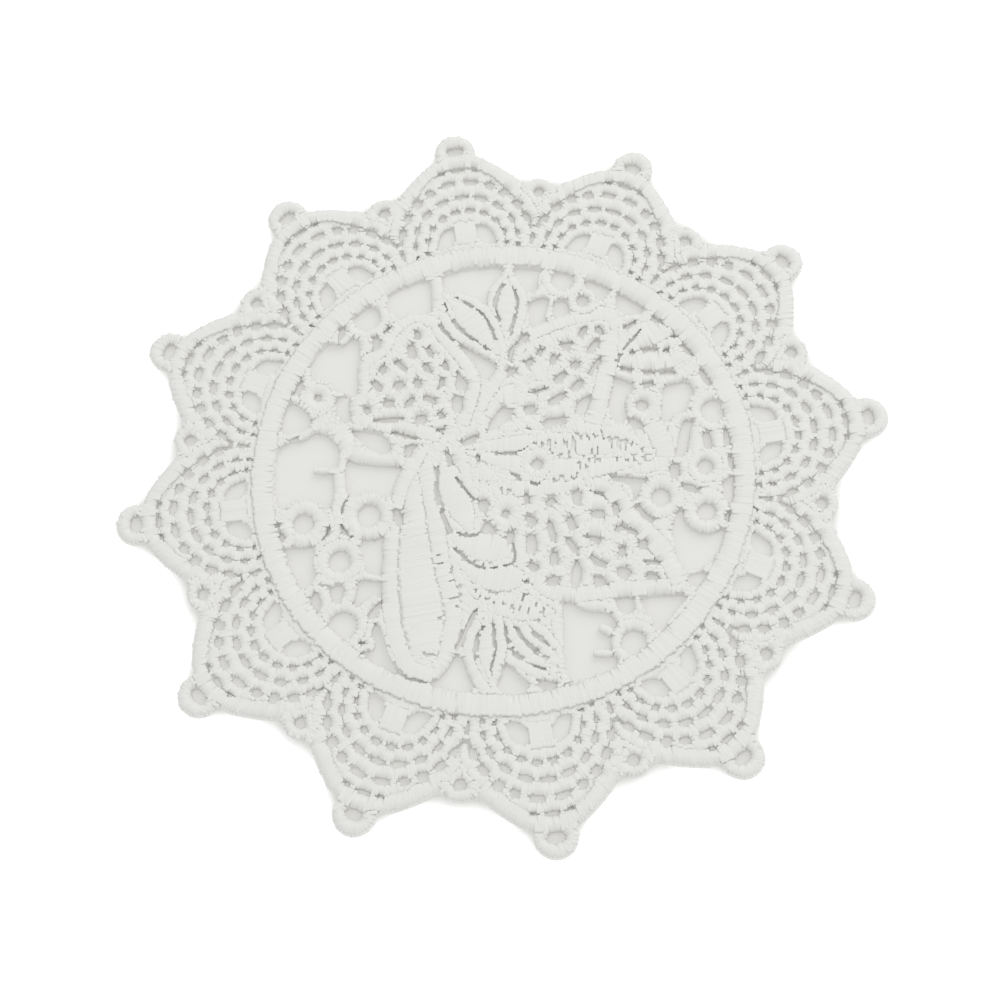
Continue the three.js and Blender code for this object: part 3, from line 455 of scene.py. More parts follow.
# A piece has at most this many stitches, which keeps it under 200,000 triangles
MAX_STITCHES = 2800

# The ground under the stitches: its grid, its height as a share of theirs and at its edges, and the
# height of its grooves under slits and comb slits
CORE_STEP = 0.46
CORE_SHARE = 0.86
CORE_EDGE = 0.3
SLIT_FLOOR = 0.65
COMB_FLOOR = 0.95
GROOVE_SIDE = 0.5
TOP_ROUNDING = 0.7
LOW_ROUNDING = 0.5
EDGE_LIFT = 0.12
GROUND_UV = 0.1

# Where the edge crosses a cell's side, it keeps this share of the side away from its ends
CROSSING_SHARES = (0.15, 0.85)

# How the limp lace lies: out of round in lobes, drifting sideways, and lifted off the table in
# waves. A wave has its length in millimetres for each radian, and its phase. FULL_AT is the radius
# from which the unroundness or the lift has its full amount
UNROUND = 0.0016
UNROUND_LOBES = 3
UNROUND_PHASE = 0.7
UNROUND_FULL_AT = 40
DRIFT = 0.12
DRIFT_WAVES = [(9.0, 1.0), (11.0, 2.1)]
LIFT = 0.14
LIFT_WAVES = [(7.5, 0.6), (8.5, 1.9), (5.2, 0)]
LIFT_FULL_AT = 30
LIFT_LEAST = 0.2

# The plan is worked out on a square grid of this cell, out to this distance each way. Distances to
# an outline are worked out this far round it, and are taken as far away beyond
CELL = 0.2
HALF = 61.0
NEAR_MARGIN = 1.6
FAR_AWAY = 9.0

# The outer edge lies between these distances from the middle, and depths count up to this
EDGE_FROM = 44
EDGE_TO = 62.5
DEEPEST = 3.0

# The direction of a bar is worked out from depths in this range, softened over these cells
DIRECTION_DEPTHS = (-0.6, 2.5)
DEPTH_SOFTNESS = 1
DIRECTION_SOFTNESS = 3

rng = np.random.default_rng(12)
ticks = np.arange(-HALF, HALF + CELL / 2, CELL)
COUNT = len(ticks)
LAST_READ = COUNT - 1.001
grid_x, grid_y = np.meshgrid(ticks, ticks, indexing="ij")
grid_radius = np.hypot(grid_x, grid_y)
grid_angle = np.degrees(np.arctan2(grid_x, grid_y))
grid_side = np.radians(grid_angle - STEP * np.round(grid_angle / STEP))


# Outlines in plan


def turned(points, angle):
    """Points turned clockwise about the coaster's middle, in degrees."""
    points = np.asarray(points, float).reshape(-1, 2)
    a = math.radians(angle)
    x = points[:, 0] * math.cos(a) + points[:, 1] * math.sin(a)
    y = points[:, 1] * math.cos(a) - points[:, 0] * math.sin(a)
    return np.stack([x, y], 1)


def left_of(way):
    """Directions turned a quarter to the left."""
    return np.stack([-way[..., 1], way[..., 0]], -1)


def fan_points(centre, out, sides):
    """Points at a distance and side angles from a centre on a scallop's middle line."""
    sides = np.radians(np.atleast_1d(np.asarray(sides, float)))
    return np.stack([out * np.sin(sides), centre + out * np.cos(sides)], 1)


def scallop_edge(sides):
    """How far a scallop's rim is from the fan's centre."""
    sides = np.abs(np.asarray(sides, float))
    return RIM_REACH - RIM_SLOPE * sides + RIM_CURVE * sides * sides


def net_edge(sides):
    """How far the net goes out from the fan's centre."""
    return NET_REACH + NET_RISE * np.cos(np.radians(NET_WAVE * np.asarray(sides, float))) ** 2


def oval(x, y, half_wide, half_high):
    a = np.arange(ROUND_SIDES) * 2 * math.pi / ROUND_SIDES
    return np.stack([x + half_wide * np.cos(a), y + half_high * np.sin(a)], 1)


def gap_outline(x, y, length, width, direction, sides=SMALL_SIDES):
    """A rounded gap about its middle, with its length in a direction in degrees."""
    a = (np.arange(sides) + 0.5) * 2 * math.pi / sides
    along = length / 2 * np.sign(np.cos(a)) * np.abs(np.cos(a)) ** GAP_SQUARENESS
    across = width / 2 * np.sign(np.sin(a)) * np.abs(np.sin(a)) ** GAP_SQUARENESS
    t = math.radians(direction)
    return np.stack([x + along * math.cos(t) - across * math.sin(t),
                     y + along * math.sin(t) + across * math.cos(t)], 1)


def rounded(corners):
    """A closed outline with its corners cut off twice."""
    for _ in range(2):
        corners = np.asarray(corners, float)
        following = np.roll(corners, -1, axis=0)
        leaving = (1 - CORNER_CUT) * corners + CORNER_CUT * following
        arriving = CORNER_CUT * corners + (1 - CORNER_CUT) * following
        corners = np.stack([leaving, arriving], 1).reshape(-1, 2)
    return corners


def smooth_line(via, spacing):
    """Evenly spaced points, and their directions, on a smooth line through the given points."""
    p = np.asarray(via, float)
    ends = np.vstack([2 * p[0] - p[1], p, 2 * p[-1] - p[-2]])
    fine = []
    for a, b, c, d in zip(ends, ends[1:], ends[2:], ends[3:]):
        for t in np.linspace(0, 1, SPAN_STEPS, endpoint=False):
            square = (2 * a - 5 * b + 4 * c - d) * t * t
            fine.append(0.5 * (2 * b + (c - a) * t + square + (3 * b - a - 3 * c + d) * t ** 3))
    fine = np.array(fine + [p[-1]])
    run = np.concatenate([[0], np.cumsum(np.hypot(*np.diff(fine, axis=0).T))])

    def place(at):
        return np.stack([np.interp(at, run, fine[:, 0]), np.interp(at, run, fine[:, 1])], 1)

    at = np.linspace(0, run[-1], max(2, round(run[-1] / spacing)) + 1)
    heading = place(at + HEADING_STEP) - place(at - HEADING_STEP)
    return place(at), heading / np.hypot(*heading.T)[:, None]


def strip(wide, via, spacing):
    """The outline of a strip along a smooth line, with pointed ends."""
    line, heading = smooth_line(via, spacing)
    side = wide / 2 * left_of(heading)
    tips = wide / 2 * heading[[0, -1]]
    return np.vstack([line[0] - tips[0], line - side, line[-1] + tips[1], (line + side)[::-1]])


def leaf_line(leaf, u):
    """A leaf's middle line, its direction across, and its half width at shares u of its length."""
    x1, y1, x2, y2, wide, bow = leaf
    along = np.array([x2 - x1, y2 - y1], float)
    across = left_of(along) / np.hypot(*along)
    swell = np.sin(math.pi * u)
    middle = np.array([x1, y1]) + u[:, None] * along + (bow * swell)[:, None] * across
    return middle, across, wide / 2 * swell


def leaf_outline(leaf):
    middle, across, half = leaf_line(leaf, np.linspace(0, 1, LEAF_CORNERS))
    side = half[:, None] * across
    return np.vstack([middle - side, (middle + side)[-2:0:-1]])


def scallop_outline():
    """The outer edge of one scallop and its two neighbours, closed through the middle."""
    mirror = np.array([-1, 1])
    notch = fan_points(NOTCH_PICOT["at"], NOTCH_PICOT["radius"], NOTCH_ANGLES)
    tip = fan_points(TIP_PICOT["at"], TIP_PICOT["radius"], TIP_ANGLES)
    rim = fan_points(FAN_CENTRE, scallop_edge(RIM_ANGLES), RIM_ANGLES)
    scallop = np.vstack([rim, tip, (rim * mirror)[::-1]])
    corners = [np.zeros((1, 2))]
    for k in (-1, 0, 1):
        corners.append(turned(notch, (k - 0.5) * STEP))
        corners.append(turned(scallop, k * STEP))
        corners.append(turned((notch * mirror)[::-1], (k + 0.5) * STEP))
    return np.vstack(corners)


def net_gaps():
    """The holes of the twelve fans, their picots, and what lies between them."""
    fan = [[(mirror * x, y) for x, y in DROP] for mirror in (-1, 1)]
    for centre, radius, row in DASH_ROWS:
        for side, length, width in row:
            for mirror in (1, -1) if side else (1,):
                x, y = fan_points(centre, radius, mirror * side)[0]
                fan.append(gap_outline(x, y, length, width, -mirror * side))
    fan.append(oval(0, TIP_PICOT["hole_at"], TIP_PICOT["hole_wide"] / 2, TIP_PICOT["hole_high"] / 2))
    x, y, length, width, lean = VALLEY_SLIT
    valley = [gap_outline(m * x, y, length, width, 90 + m * (lean - 90)) for m in (-1, 1)]
    valley.append(gap_outline(*VALLEY_GAP))
    valley.append(oval(0, NOTCH_PICOT["hole_at"], NOTCH_PICOT["hole"] / 2, NOTCH_PICOT["hole"] / 2))
    gaps = []
    for k in range(SCALLOPS):
        gaps += [turned(outline, k * STEP) for outline in fan]
        gaps += [turned(outline, (k + 0.5) * STEP) for outline in valley]
    return gaps


def slit_outlines(least=0.0):
    """The slits that are at least so wide."""
    return [strip(wide * SLIT_SHARE, via, SLIT_SPACING) for wide, via in SLITS if wide >= least]


# Depth map: how far inside the thread work each grid point lies, negative in gaps and outside


def polygon_distance(points, corners):
    """Distance from each point to a closed outline, negative inside it."""
    nearest = np.full(len(points), np.inf)
    inside = np.zeros(len(points), bool)
    for (ax, ay), (bx, by) in zip(corners, np.roll(corners, -1, axis=0)):
        ex, ey = bx - ax, by - ay
        wx, wy = points[:, 0] - ax, points[:, 1] - ay
        t = np.clip((wx * ex + wy * ey) / max(ex * ex + ey * ey, 1e-12), 0, 1)
        nearest = np.minimum(nearest, (wx - ex * t) ** 2 + (wy - ey * t) ** 2)
        crosses = (wy >= 0) != (points[:, 1] - by >= 0)
        if ey:
            inside ^= crosses & (wx < wy * ex / ey)
    return np.where(inside, -1, 1) * np.sqrt(nearest)


def outline_distance(outlines):
    """Distance from each grid point to the nearest of some outlines, negative inside them."""
    result = np.full(grid_radius.shape, FAR_AWAY)
    for outline in outlines:
        corners = np.asarray(outline, float)
        first = np.clip(((corners.min(0) - NEAR_MARGIN + HALF) / CELL).astype(int), 0, COUNT - 1)
        last = np.clip(((corners.max(0) + NEAR_MARGIN + HALF) / CELL).astype(int) + 2, 1, COUNT)
        area = slice(first[0], last[0]), slice(first[1], last[1])
        points = np.stack([grid_x[area].ravel(), grid_y[area].ravel()], 1)
        away = polygon_distance(points, corners).reshape(grid_x[area].shape)
        result[area] = np.minimum(result[area], away)
    return result


def edge_depth():
    """How far inside the outer edge each grid point lies."""
    side = np.abs(grid_side)
    points = np.stack([(grid_radius * np.sin(side)).ravel(), (grid_radius * np.cos(side)).ravel()], 1)
    result = np.where(points[:, 1] > EDGE_FROM, -DEEPEST, DEEPEST)
    rim = (points[:, 1] > EDGE_FROM) & (points[:, 1] < EDGE_TO)
    result[rim] = np.minimum(-polygon_distance(points[rim], scallop_outline()), DEEPEST)
    return result.reshape(grid_radius.shape)


def work_depth():
    """The depth map of the whole lace: gaps cut, what crosses them joined, and holes cut in that."""
    gaps = net_gaps() + [rounded(corners) for corners in GAPS]
    crossing = [gap_outline(*bar, ROUND_SIDES) for bar in BARS]
    crossing += [oval(x, y, outer, outer) for x, y, outer, hole in EYELETS]
    crossing += [leaf_outline(leaf) for leaf in [*LEAVES, SIDE_WING]]
    crossing += [strip(wide, via, RIBBON_SPACING) for wide, via in RIBBONS]
    holes = [oval(x, y, hole, hole) for x, y, outer, hole in EYELETS]
    holes += [gap_outline(*gap) for gap in SMALL_GAPS if gap[3] > SHALLOW_GAP]
    result = np.minimum(edge_depth(), outline_distance(gaps))
    result = np.maximum(result, -outline_distance(crossing))
    result = np.minimum(result, outline_distance(holes))
    return np.maximum(result, np.minimum(grid_radius - RING_INNER, RING_OUTER - grid_radius))


def read(field, points):
    """Values of a map between its grid points."""
    at = np.clip((np.asarray(points) + HALF) / CELL, 0, LAST_READ)
    low = at.astype(int)
    part = at - low
    i, j = low[..., 0], low[..., 1]
    u, v = part[..., 0], part[..., 1]
    first = field[i, j] * (1 - v) + field[i, j + 1] * v
    second = field[i + 1, j] * (1 - v) + field[i + 1, j + 1] * v
    return first * (1 - u) + second * u


def blurred(field, reach_cells):
    """A map softened over a distance in grid cells."""
    shifts = np.arange(-3 * reach_cells, 3 * reach_cells + 1)
    weights = np.exp(-0.5 * (shifts / reach_cells) ** 2)
    weights /= weights.sum()
    for axis in (0, 1):
        field = sum(weight * np.roll(field, shift, axis) for weight, shift in zip(weights, shifts))
    return field


depth = work_depth()
slit_away = outline_distance(slit_outlines())
dots_away = outline_distance([gap_outline(*gap) for gap in SMALL_GAPS if gap[3] <= SHALLOW_GAP])
comb = [strip(COMB_WIDE, [(x1, y1), (x2, y2)], SLIT_SPACING) for x1, y1, x2, y2 in COMB]
comb_away = np.minimum(outline_distance(comb), dots_away + THREAD_MARGIN)
core_depth = np.minimum(depth, outline_distance(slit_outlines(CUT_SLIT)))
stitch_depth = np.minimum(np.minimum(depth, slit_away), comb_away) - THREAD_MARGIN


def bar_direction():
    """The direction across each bar of the lace, as the cosine and sine of twice its angle."""
    soft = blurred(np.clip(stitch_depth, *DIRECTION_DEPTHS), DEPTH_SOFTNESS)
    slope_x, slope_y = np.gradient(soft)
    double_cos = blurred(slope_x ** 2 - slope_y ** 2, DIRECTION_SOFTNESS)
    double_sin = blurred(2 * slope_x * slope_y, DIRECTION_SOFTNESS)
    return double_cos, double_sin


def top_height():
    """The height of the stitching: a low net in the fans and raised satin elsewhere."""
    x, y = grid_radius * np.sin(grid_side), grid_radius * np.cos(grid_side) - FAN_CENTRE
    side = np.degrees(np.arctan2(x, np.maximum(y, LEAST_OUT)))
    inside = net_edge(np.clip(side, -NET_SIDE, NET_SIDE)) - np.hypot(x, y)
    in_net = np.clip(inside, 0, NET_SLOPE) / NET_SLOPE
    in_net[grid_radius < RING_OUTER] = 0
    return SATIN_TOP + (NET_TOP - SATIN_TOP) * in_net


across_cos, across_sin = bar_direction()
stitch_top = top_height()


# Meshes


def ripple(at, length, phase):
    return np.sin(at / length + phase)


def settled(points):
    """Points moved a little, as the limp lace really lies: not quite round and not quite flat."""
    x, y, z = points.T
    radius = np.hypot(x, y)
    lobes = np.sin(UNROUND_LOBES * np.arctan2(y, x) + UNROUND_PHASE)
    out = 1 + UNROUND * lobes * np.clip(radius / UNROUND_FULL_AT, 0, 1)
    shift_x = DRIFT * ripple(y, *DRIFT_WAVES[0])
    shift_y = DRIFT * ripple(x, *DRIFT_WAVES[1])
    wave = ripple(x, *LIFT_WAVES[0]) * ripple(y, *LIFT_WAVES[1]) + 0.5 * ripple(x - y, *LIFT_WAVES[2])
    lift = LIFT * np.clip(wave, 0, 2) * np.clip(radius / LIFT_FULL_AT, LIFT_LEAST, 1)
    return np.stack([x * out + shift_x, y * out + shift_y, z + lift], 1)


def new_mesh(name, points, faces, uv, shade):
    """One joined mesh from points in millimetres and its faces, grouped by their number of corners."""
    mesh = bpy.data.meshes.new(name)
    mesh.vertices.add(len(points))
    mesh.vertices.foreach_set("co", (settled(points) * MM).astype(np.float32).ravel())
    corners = np.concatenate([group.ravel() for group in faces]).astype(np.int32)
    sizes = np.concatenate([np.full(len(group), group.shape[1]) for group in faces])
    mesh.loops.add(len(corners))
    mesh.loops.foreach_set("vertex_index", corners)
    mesh.polygons.add(len(sizes))
    mesh.polygons.foreach_set("loop_start", (np.cumsum(sizes) - sizes).astype(np.int32))
    mesh.polygons.foreach_set("use_smooth", np.ones(len(sizes), bool))
    mesh.uv_layers.new(name="UVMap").uv.foreach_set("vector", uv[corners].astype(np.float32).ravel())
    # Per point: a stitch's random tone, and on the ground its painted shade towards the edges of the gaps
    mesh.attributes.new("shade", "FLOAT", "POINT").data.foreach_set("value", shade.astype(np.float32))
    mesh.update(calc_edges=True)
    mesh.validate()
    piece = bpy.data.objects.new(name, mesh)
    bpy.context.collection.objects.link(piece)
    return piece


# Square cells cut by the lace's edge: the corners and edge crossings of each piece, by which corners
# are inside. Corners are 0 to 3 anticlockwise, and crossing 4 lies between 0 and 1, and so on
CELL_PIECES = {
    1: [(0, 4, 7)], 2: [(1, 5, 4)], 4: [(2, 6, 5)], 8: [(3, 7, 6)],
    3: [(0, 1, 5, 7)], 6: [(1, 2, 6, 4)], 12: [(2, 3, 7, 5)], 9: [(3, 0, 4, 6)],
    5: [(0, 4, 7), (2, 6, 5)], 10: [(1, 5, 4), (3, 7, 6)],
    7: [(0, 1, 2, 6, 7)], 14: [(1, 2, 3, 7, 4)], 13: [(2, 3, 0, 4, 5)], 11: [(3, 0, 1, 5, 6)],
    15: [(0, 1, 2, 3)],
}
FIRST_CROSSING = 4
ALL, ALL_BUT_LAST, ALL_BUT_FIRST = slice(None), slice(None, -1), slice(1, None)
CELL_SIDES = [((ALL_BUT_LAST, ALL), (ALL_BUT_FIRST, ALL)), ((ALL, ALL_BUT_LAST), (ALL, ALL_BUT_FIRST))]


def cell_corners(grid):
    """The values of a grid at the four corners of each of its cells, anticlockwise."""
    return [grid[:-1, :-1], grid[1:, :-1], grid[1:, 1:], grid[:-1, 1:]]


def core_plan():
    """The ground in plan: its points, how many of them lie inside, and each cell's corners and crossings
    by number, with the case that says which of its corners are inside."""
    along = np.arange(-HALF, HALF + CORE_STEP, CORE_STEP)
    nodes = np.stack(np.meshgrid(along, along, indexing="ij"), 2)
    value = read(core_depth, nodes)
    inside = value > 0
    count = int(inside.sum())
    node_numbers = np.full(value.shape, -1)
    node_numbers[inside] = np.arange(count)
    places = [nodes[inside]]
    side_numbers = []
    for near_end, far_end in CELL_SIDES:
        a, b = value[near_end], value[far_end]
        crossed = (a > 0) != (b > 0)
        share = np.clip(a / np.where(crossed, a - b, 1), *CROSSING_SHARES)[crossed][:, None]
        places.append(nodes[near_end][crossed] * (1 - share) + nodes[far_end][crossed] * share)
        numbers = np.full(crossed.shape, -1)
        numbers[crossed] = count + np.arange(crossed.sum())
        side_numbers.append(numbers)
        count += int(crossed.sum())
    x_sides, y_sides = side_numbers
    crossings = [x_sides[:, :-1], y_sides[1:, :], x_sides[:, 1:], y_sides[:-1, :]]
    cells = np.stack(cell_corners(node_numbers) + crossings, 2).reshape(-1, 8)
    case = sum(flag.astype(int) << bit for bit, flag in enumerate(cell_corners(inside))).ravel()
    return np.vstack(places), len(places[0]), cells, case


def core_faces(cells, case):
    """The faces of the ground by their number of corners, and the sides that lie along its edge."""
    by_size = {3: [], 4: [], 5: []}
    rim = []
    for pattern, pieces in CELL_PIECES.items():
        numbers = cells[case == pattern]
        for piece in pieces:
            by_size[len(piece)].append(numbers[:, piece])
            for first, second in zip(piece, piece[1:] + piece[:1]):
                if first >= FIRST_CROSSING and second >= FIRST_CROSSING:
                    rim.append(numbers[:, (first, second)])
    return [np.vstack(groups) for groups in by_size.values()], np.vstack(rim)


def core_sheet(name):
    """The ground of the lace under its stitches: a thin closed sheet with its gaps cut through."""
    plan, inner, cells, case = core_plan()
    groups, rim = core_faces(cells, case)
    deep = np.maximum(read(core_depth, plan), 0)
    deep[inner:] = 0
    crown = read(stitch_top, plan) * CORE_SHARE
    for floor, away in ((COMB_FLOOR, comb_away), (SLIT_FLOOR, slit_away)):
        crown = floor + (crown - floor) * np.clip(read(away, plan) / GROOVE_SIDE, 0, 1)
    rounding = 1 - (1 - np.clip(deep / TOP_ROUNDING, 0, 1)) ** 2
    top = CORE_EDGE + (crown - CORE_EDGE) * rounding
    low = EDGE_LIFT * (1 - np.clip(deep / LOW_ROUNDING, 0, 1))
    points = np.vstack([np.column_stack([plan, top]), np.column_stack([plan, low])])
    below = len(plan)
    faces = []
    for group in groups:
        faces += [group, group[:, ::-1] + below]
    faces.append(np.column_stack([rim[:, 1], rim[:, 0], rim[:, 0] + below, rim[:, 1] + below]))
    # The rounding is also the ground's painted shade: its colour darkens towards the edges of the gaps
    return new_mesh(name, points, faces, np.vstack([plan, plan]) * GROUND_UV, np.tile(rounding, 2))


# Stitches: each is an arched thread from one point in plan to another

stitches = {}
covered = np.zeros((COUNT, COUNT), bool)


def cells_of(points):
    """The cells of the plan's grid that points lie in."""
    at = np.clip(np.round((points + HALF) / CELL).astype(int), 0, COUNT - 1)
    return at[..., 0], at[..., 1]


def reach(points, direction, half, taken):
    """How far the work goes on from each point in a direction, up to half a band."""
    found = np.zeros(len(points))
    going = np.ones(len(points), bool)
    for step in np.arange(REACH_STEP, np.max(half) + REACH_STEP / 2, REACH_STEP):
        ahead = points + direction * step
        going &= (read(stitch_depth, ahead) > 0) & ~taken[cells_of(ahead)] & (step <= half)
        found[going] = step
    return found


def cover(starts, ends):
    """Marks the grid under each stitch as taken."""
    along = ends - starts
    length = np.hypot(*along.T)
    side = left_of(along) / np.maximum(length, 1e-6)[:, None]
    for u in np.linspace(0, 1, 2 + int(length.max() / COVER_STEP)):
        for offset in COVER_SIDES:
            covered[cells_of(starts + along * u + side * offset)] = True


def end_fall(places, heading, crown):
    """How far each stitch falls at an end: to its foot beside a gap, a little where it meets other work."""
    beside_gap = read(depth, places + heading * END_LOOK) <= THREAD_MARGIN
    return np.where(beside_gap, GAP_FALL_SHARE * (crown - THREAD_HALF_HIGH - STITCH_END), BUTTED_FALL)


def lay(group, points, across, half, top=None, ragged=RAGGED):
    """Lays a stitch across the work at each point, out to its edge or to half the band's width."""
    points = np.asarray(points, float).reshape(-1, 2)
    across = np.broadcast_to(np.asarray(across, float), points.shape)
    across = across / np.hypot(*across.T)[:, None]
    lean = rng.normal(0, LEAN, len(points))[:, None]
    across = across + lean * left_of(across)
    half = np.broadcast_to(half, len(points))
    taken = covered.copy()
    left = reach(points, -across, half, taken)
    right = reach(points, across, half, taken)
    beside = BESIDE * left_of(across)
    keep = (left + right > LEAST_STITCH) & (read(stitch_depth, points) > LEAST_DEPTH)
    keep &= (read(stitch_depth, points + beside) > 0) & (read(stitch_depth, points - beside) > 0)
    keep &= ~taken[cells_of(points)]
    if not keep.any():
        return
    spread = END_OVERLAP + rng.normal(0, ragged, (2, len(points)))
    starts = (points - across * (left + spread[0])[:, None])[keep]
    ends = (points + across * (right + spread[1])[:, None])[keep]
    across = across[keep]
    crown = read(stitch_top, (starts + ends) / 2) if top is None else np.full(len(starts), top)
    cover(starts, ends)
    falls = end_fall(starts, -across, crown), end_fall(ends, across, crown)
    stitches.setdefault(group, []).append(np.column_stack([starts, ends, crown, *falls]))


# Along each stitch: its share of the length, and its thickness there. Its section is rounder above
STATIONS = np.array([0.0, 0.1, 0.5, 0.9, 1.0])
THICKNESS = np.array([0.72, 0.96, 1.0, 0.96, 0.72])
SECTION_ANGLES = np.radians([-20, 20, 55, 125, 160, 200])
SECTION_SIDES = len(SECTION_ANGLES)


def thread_mesh(name, rows):
    """Stitches as one mesh of arched threads. A row has start x, y, end x, y, crown and two falls."""
    start, end, crown, falls = rows[:, :2], rows[:, 2:4], rows[:, 4], rows[:, 5:7]
    n = len(rows)
    crown = crown + rng.normal(0, CROWN_SPREAD, n)
    thick = 1 + rng.normal(0, THICKNESS_SPREAD, n)
    length = np.hypot(*(end - start).T)
    along = (end - start) / length[:, None]
    arch = np.clip(length / FULL_ARCH_LENGTH, LEAST_ARCH, 1)[:, None]
    fall = np.where(STATIONS < 0.5, falls[:, :1], falls[:, 1:]) * arch
    z = (crown - THREAD_HALF_HIGH)[:, None] - fall * np.abs(2 * STATIONS - 1) ** ARCH_SHARPNESS
    tilt = np.arctan(np.gradient(z, STATIONS, axis=1) / length[:, None])
    run = STATIONS * length[:, None]
    middle = np.concatenate([start[:, None, :] + run[:, :, None] * along[:, None, :], z[:, :, None]], 2)
    side = np.zeros((n, 1, 3))
    side[:, 0, :2] = left_of(along)
    up = np.concatenate([-np.sin(tilt)[:, :, None] * along[:, None, :], np.cos(tilt)[:, :, None]], 2)
    size = (thick[:, None] * THICKNESS)[:, :, None, None]
    points = (middle[:, :, None, :]
              + size * THREAD_HALF_WIDE * np.cos(SECTION_ANGLES)[:, None] * side[:, :, None, :]
              + size * THREAD_HALF_HIGH * np.sin(SECTION_ANGLES)[:, None] * up[:, :, None, :])
    stations = len(STATIONS)
    ring = np.arange(SECTION_SIDES)
    following = (ring + 1) % SECTION_SIDES
    base = (np.arange(n) * stations * SECTION_SIDES)[:, None, None]
    level = base + (np.arange(stations - 1) * SECTION_SIDES)[:, None]
    quads = np.stack([level + ring, level + following,
                      level + following + SECTION_SIDES, level + ring + SECTION_SIDES], 3)
    caps = np.vstack([base[:, 0] + ring[::-1], base[:, 0] + (stations - 1) * SECTION_SIDES + ring])
    around_share = np.broadcast_to(ring / SECTION_SIDES, (n, stations, SECTION_SIDES))
    uv = np.stack([np.broadcast_to(run[:, :, None], around_share.shape), around_share], 3).reshape(-1, 2)
    shade = np.repeat(rng.random(n), stations * SECTION_SIDES)
    return new_mesh(name, points.reshape(-1, 3), [quads.reshape(-1, 4), caps], uv, shade)


# The bands of stitching, from the ring outwards and then inwards


def ring_band():
    angles = np.linspace(0, 360, round(2 * math.pi * RING_MIDDLE / PITCH), endpoint=False)
    out = fan_points(0, 1, angles)
    lay("ring", out * RING_MIDDLE, out, (RING_OUTER - RING_INNER) / 2, RING_TOP, RING_RAGGED)


def around(group, x, y, radius, half, span=(0, 360), turn=0):
    """Satin stitches laid outwards round a point, between two angles."""
    count = max(3, round(math.radians(span[1] - span[0]) * radius / PITCH))
    out = fan_points(0, 1, np.linspace(*span, count, endpoint=False))
    centre = np.array([x, y])
    lay(group, turned(centre + out * radius, turn), turned(out, turn), half, SATIN_TOP)


def picot_band(picot, angle):
    """The stitches of a picot, which lies at an angle from the straight up one."""
    span = (-picot["half_turn"], picot["half_turn"])
    around("border", 0, picot["stitched_at"], picot["radius"], picot["reach"], span, angle)


def scallop_rim(turn):
    """The satin edge of a scallop, between its rim and its net."""
    sides = np.arange(-EDGE_SIDE, EDGE_SIDE + 0.1, math.degrees(PITCH / EDGE_RADIUS))
    outer = np.minimum(scallop_edge(sides), EDGE_LIMIT)
    inner = net_edge(sides)
    middle = fan_points(FAN_CENTRE, (outer + inner) / 2, sides)
    half = (outer - inner) / 2 + EDGE_EXTRA
    lay("border", turned(middle, turn), turned(fan_points(0, 1, sides), turn), half)


def scallop_net(turn):
    """The plate in the middle of a fan and the cords of its net."""
    across = np.arange(-PLATE_HALF_WIDE, PLATE_HALF_WIDE + 0.01, PLATE_PITCH)
    plate = np.stack([across, np.full(len(across), PLATE_AT)], 1)
    lay("net", turned(plate, turn), turned((0, 1), turn), PLATE_HALF_HIGH)
    for centre, radius, span in CORDS:
        sides = np.arange(-span, span, math.degrees(PITCH / radius))
        points = fan_points(centre, radius, sides)
        angle = np.degrees(np.arctan2(points[:, 0], points[:, 1]))
        own = (np.abs(angle) < STEP / 2) & (np.hypot(*points.T) > RING_OUTER)
        lay("net", turned(points[own], turn), turned(fan_points(0, 1, sides)[own], turn), CORD_REACH)


def eyelet_bands():
    for x, y, outer, hole in EYELETS:
        around("medallion", x, y, (outer + hole) / 2, (outer - hole) / 2 + BAND_EXTRA)


def leaf_bands(leaf, columns):
    """Columns of stitches along a leaf."""
    length = math.hypot(leaf[2] - leaf[0], leaf[3] - leaf[1])
    u = np.linspace(LEAF_END, 1 - LEAF_END, round(length / PITCH))
    middle, across, half = leaf_line(leaf, u)
    for share, reach_share, least in columns:
        wide = half > least
        places = middle + (share * half)[:, None] * across
        lay("medallion", places[wide], across, (reach_share * half)[wide])


def ribbon_bands():
    for wide, via in RIBBONS:
        line, heading = smooth_line(via, PITCH)
        lay("medallion", line, left_of(heading), wide / 2 + BAND_EXTRA)


def lower_left_filling():
    """Threads laid right across the inside of the long lower left wing."""
    y = np.arange(FILLING_FROM, FILLING_TO, -FILLING_PITCH)
    x = np.interp(-y, FILLING_DOWN, FILLING_MIDDLE)
    y = y + rng.normal(0, FILLING_SPREAD, len(y))
    lay("medallion", np.stack([x, y], 1), FILLING_ACROSS, FILLING_HALF)


BARE_STEPS = np.arange(REACH_STEP, BARE_REACH + REACH_STEP / 2, REACH_STEP)


def bare_reach(point, direction):
    """How far one bare bar goes on from a point in a direction."""
    ahead = point + direction * BARE_STEPS[:, None]
    stopped = (read(stitch_depth, ahead) <= 0) | covered[cells_of(ahead)]
    return BARE_STEPS[np.argmax(stopped)] if stopped.any() else BARE_STEPS[-1]


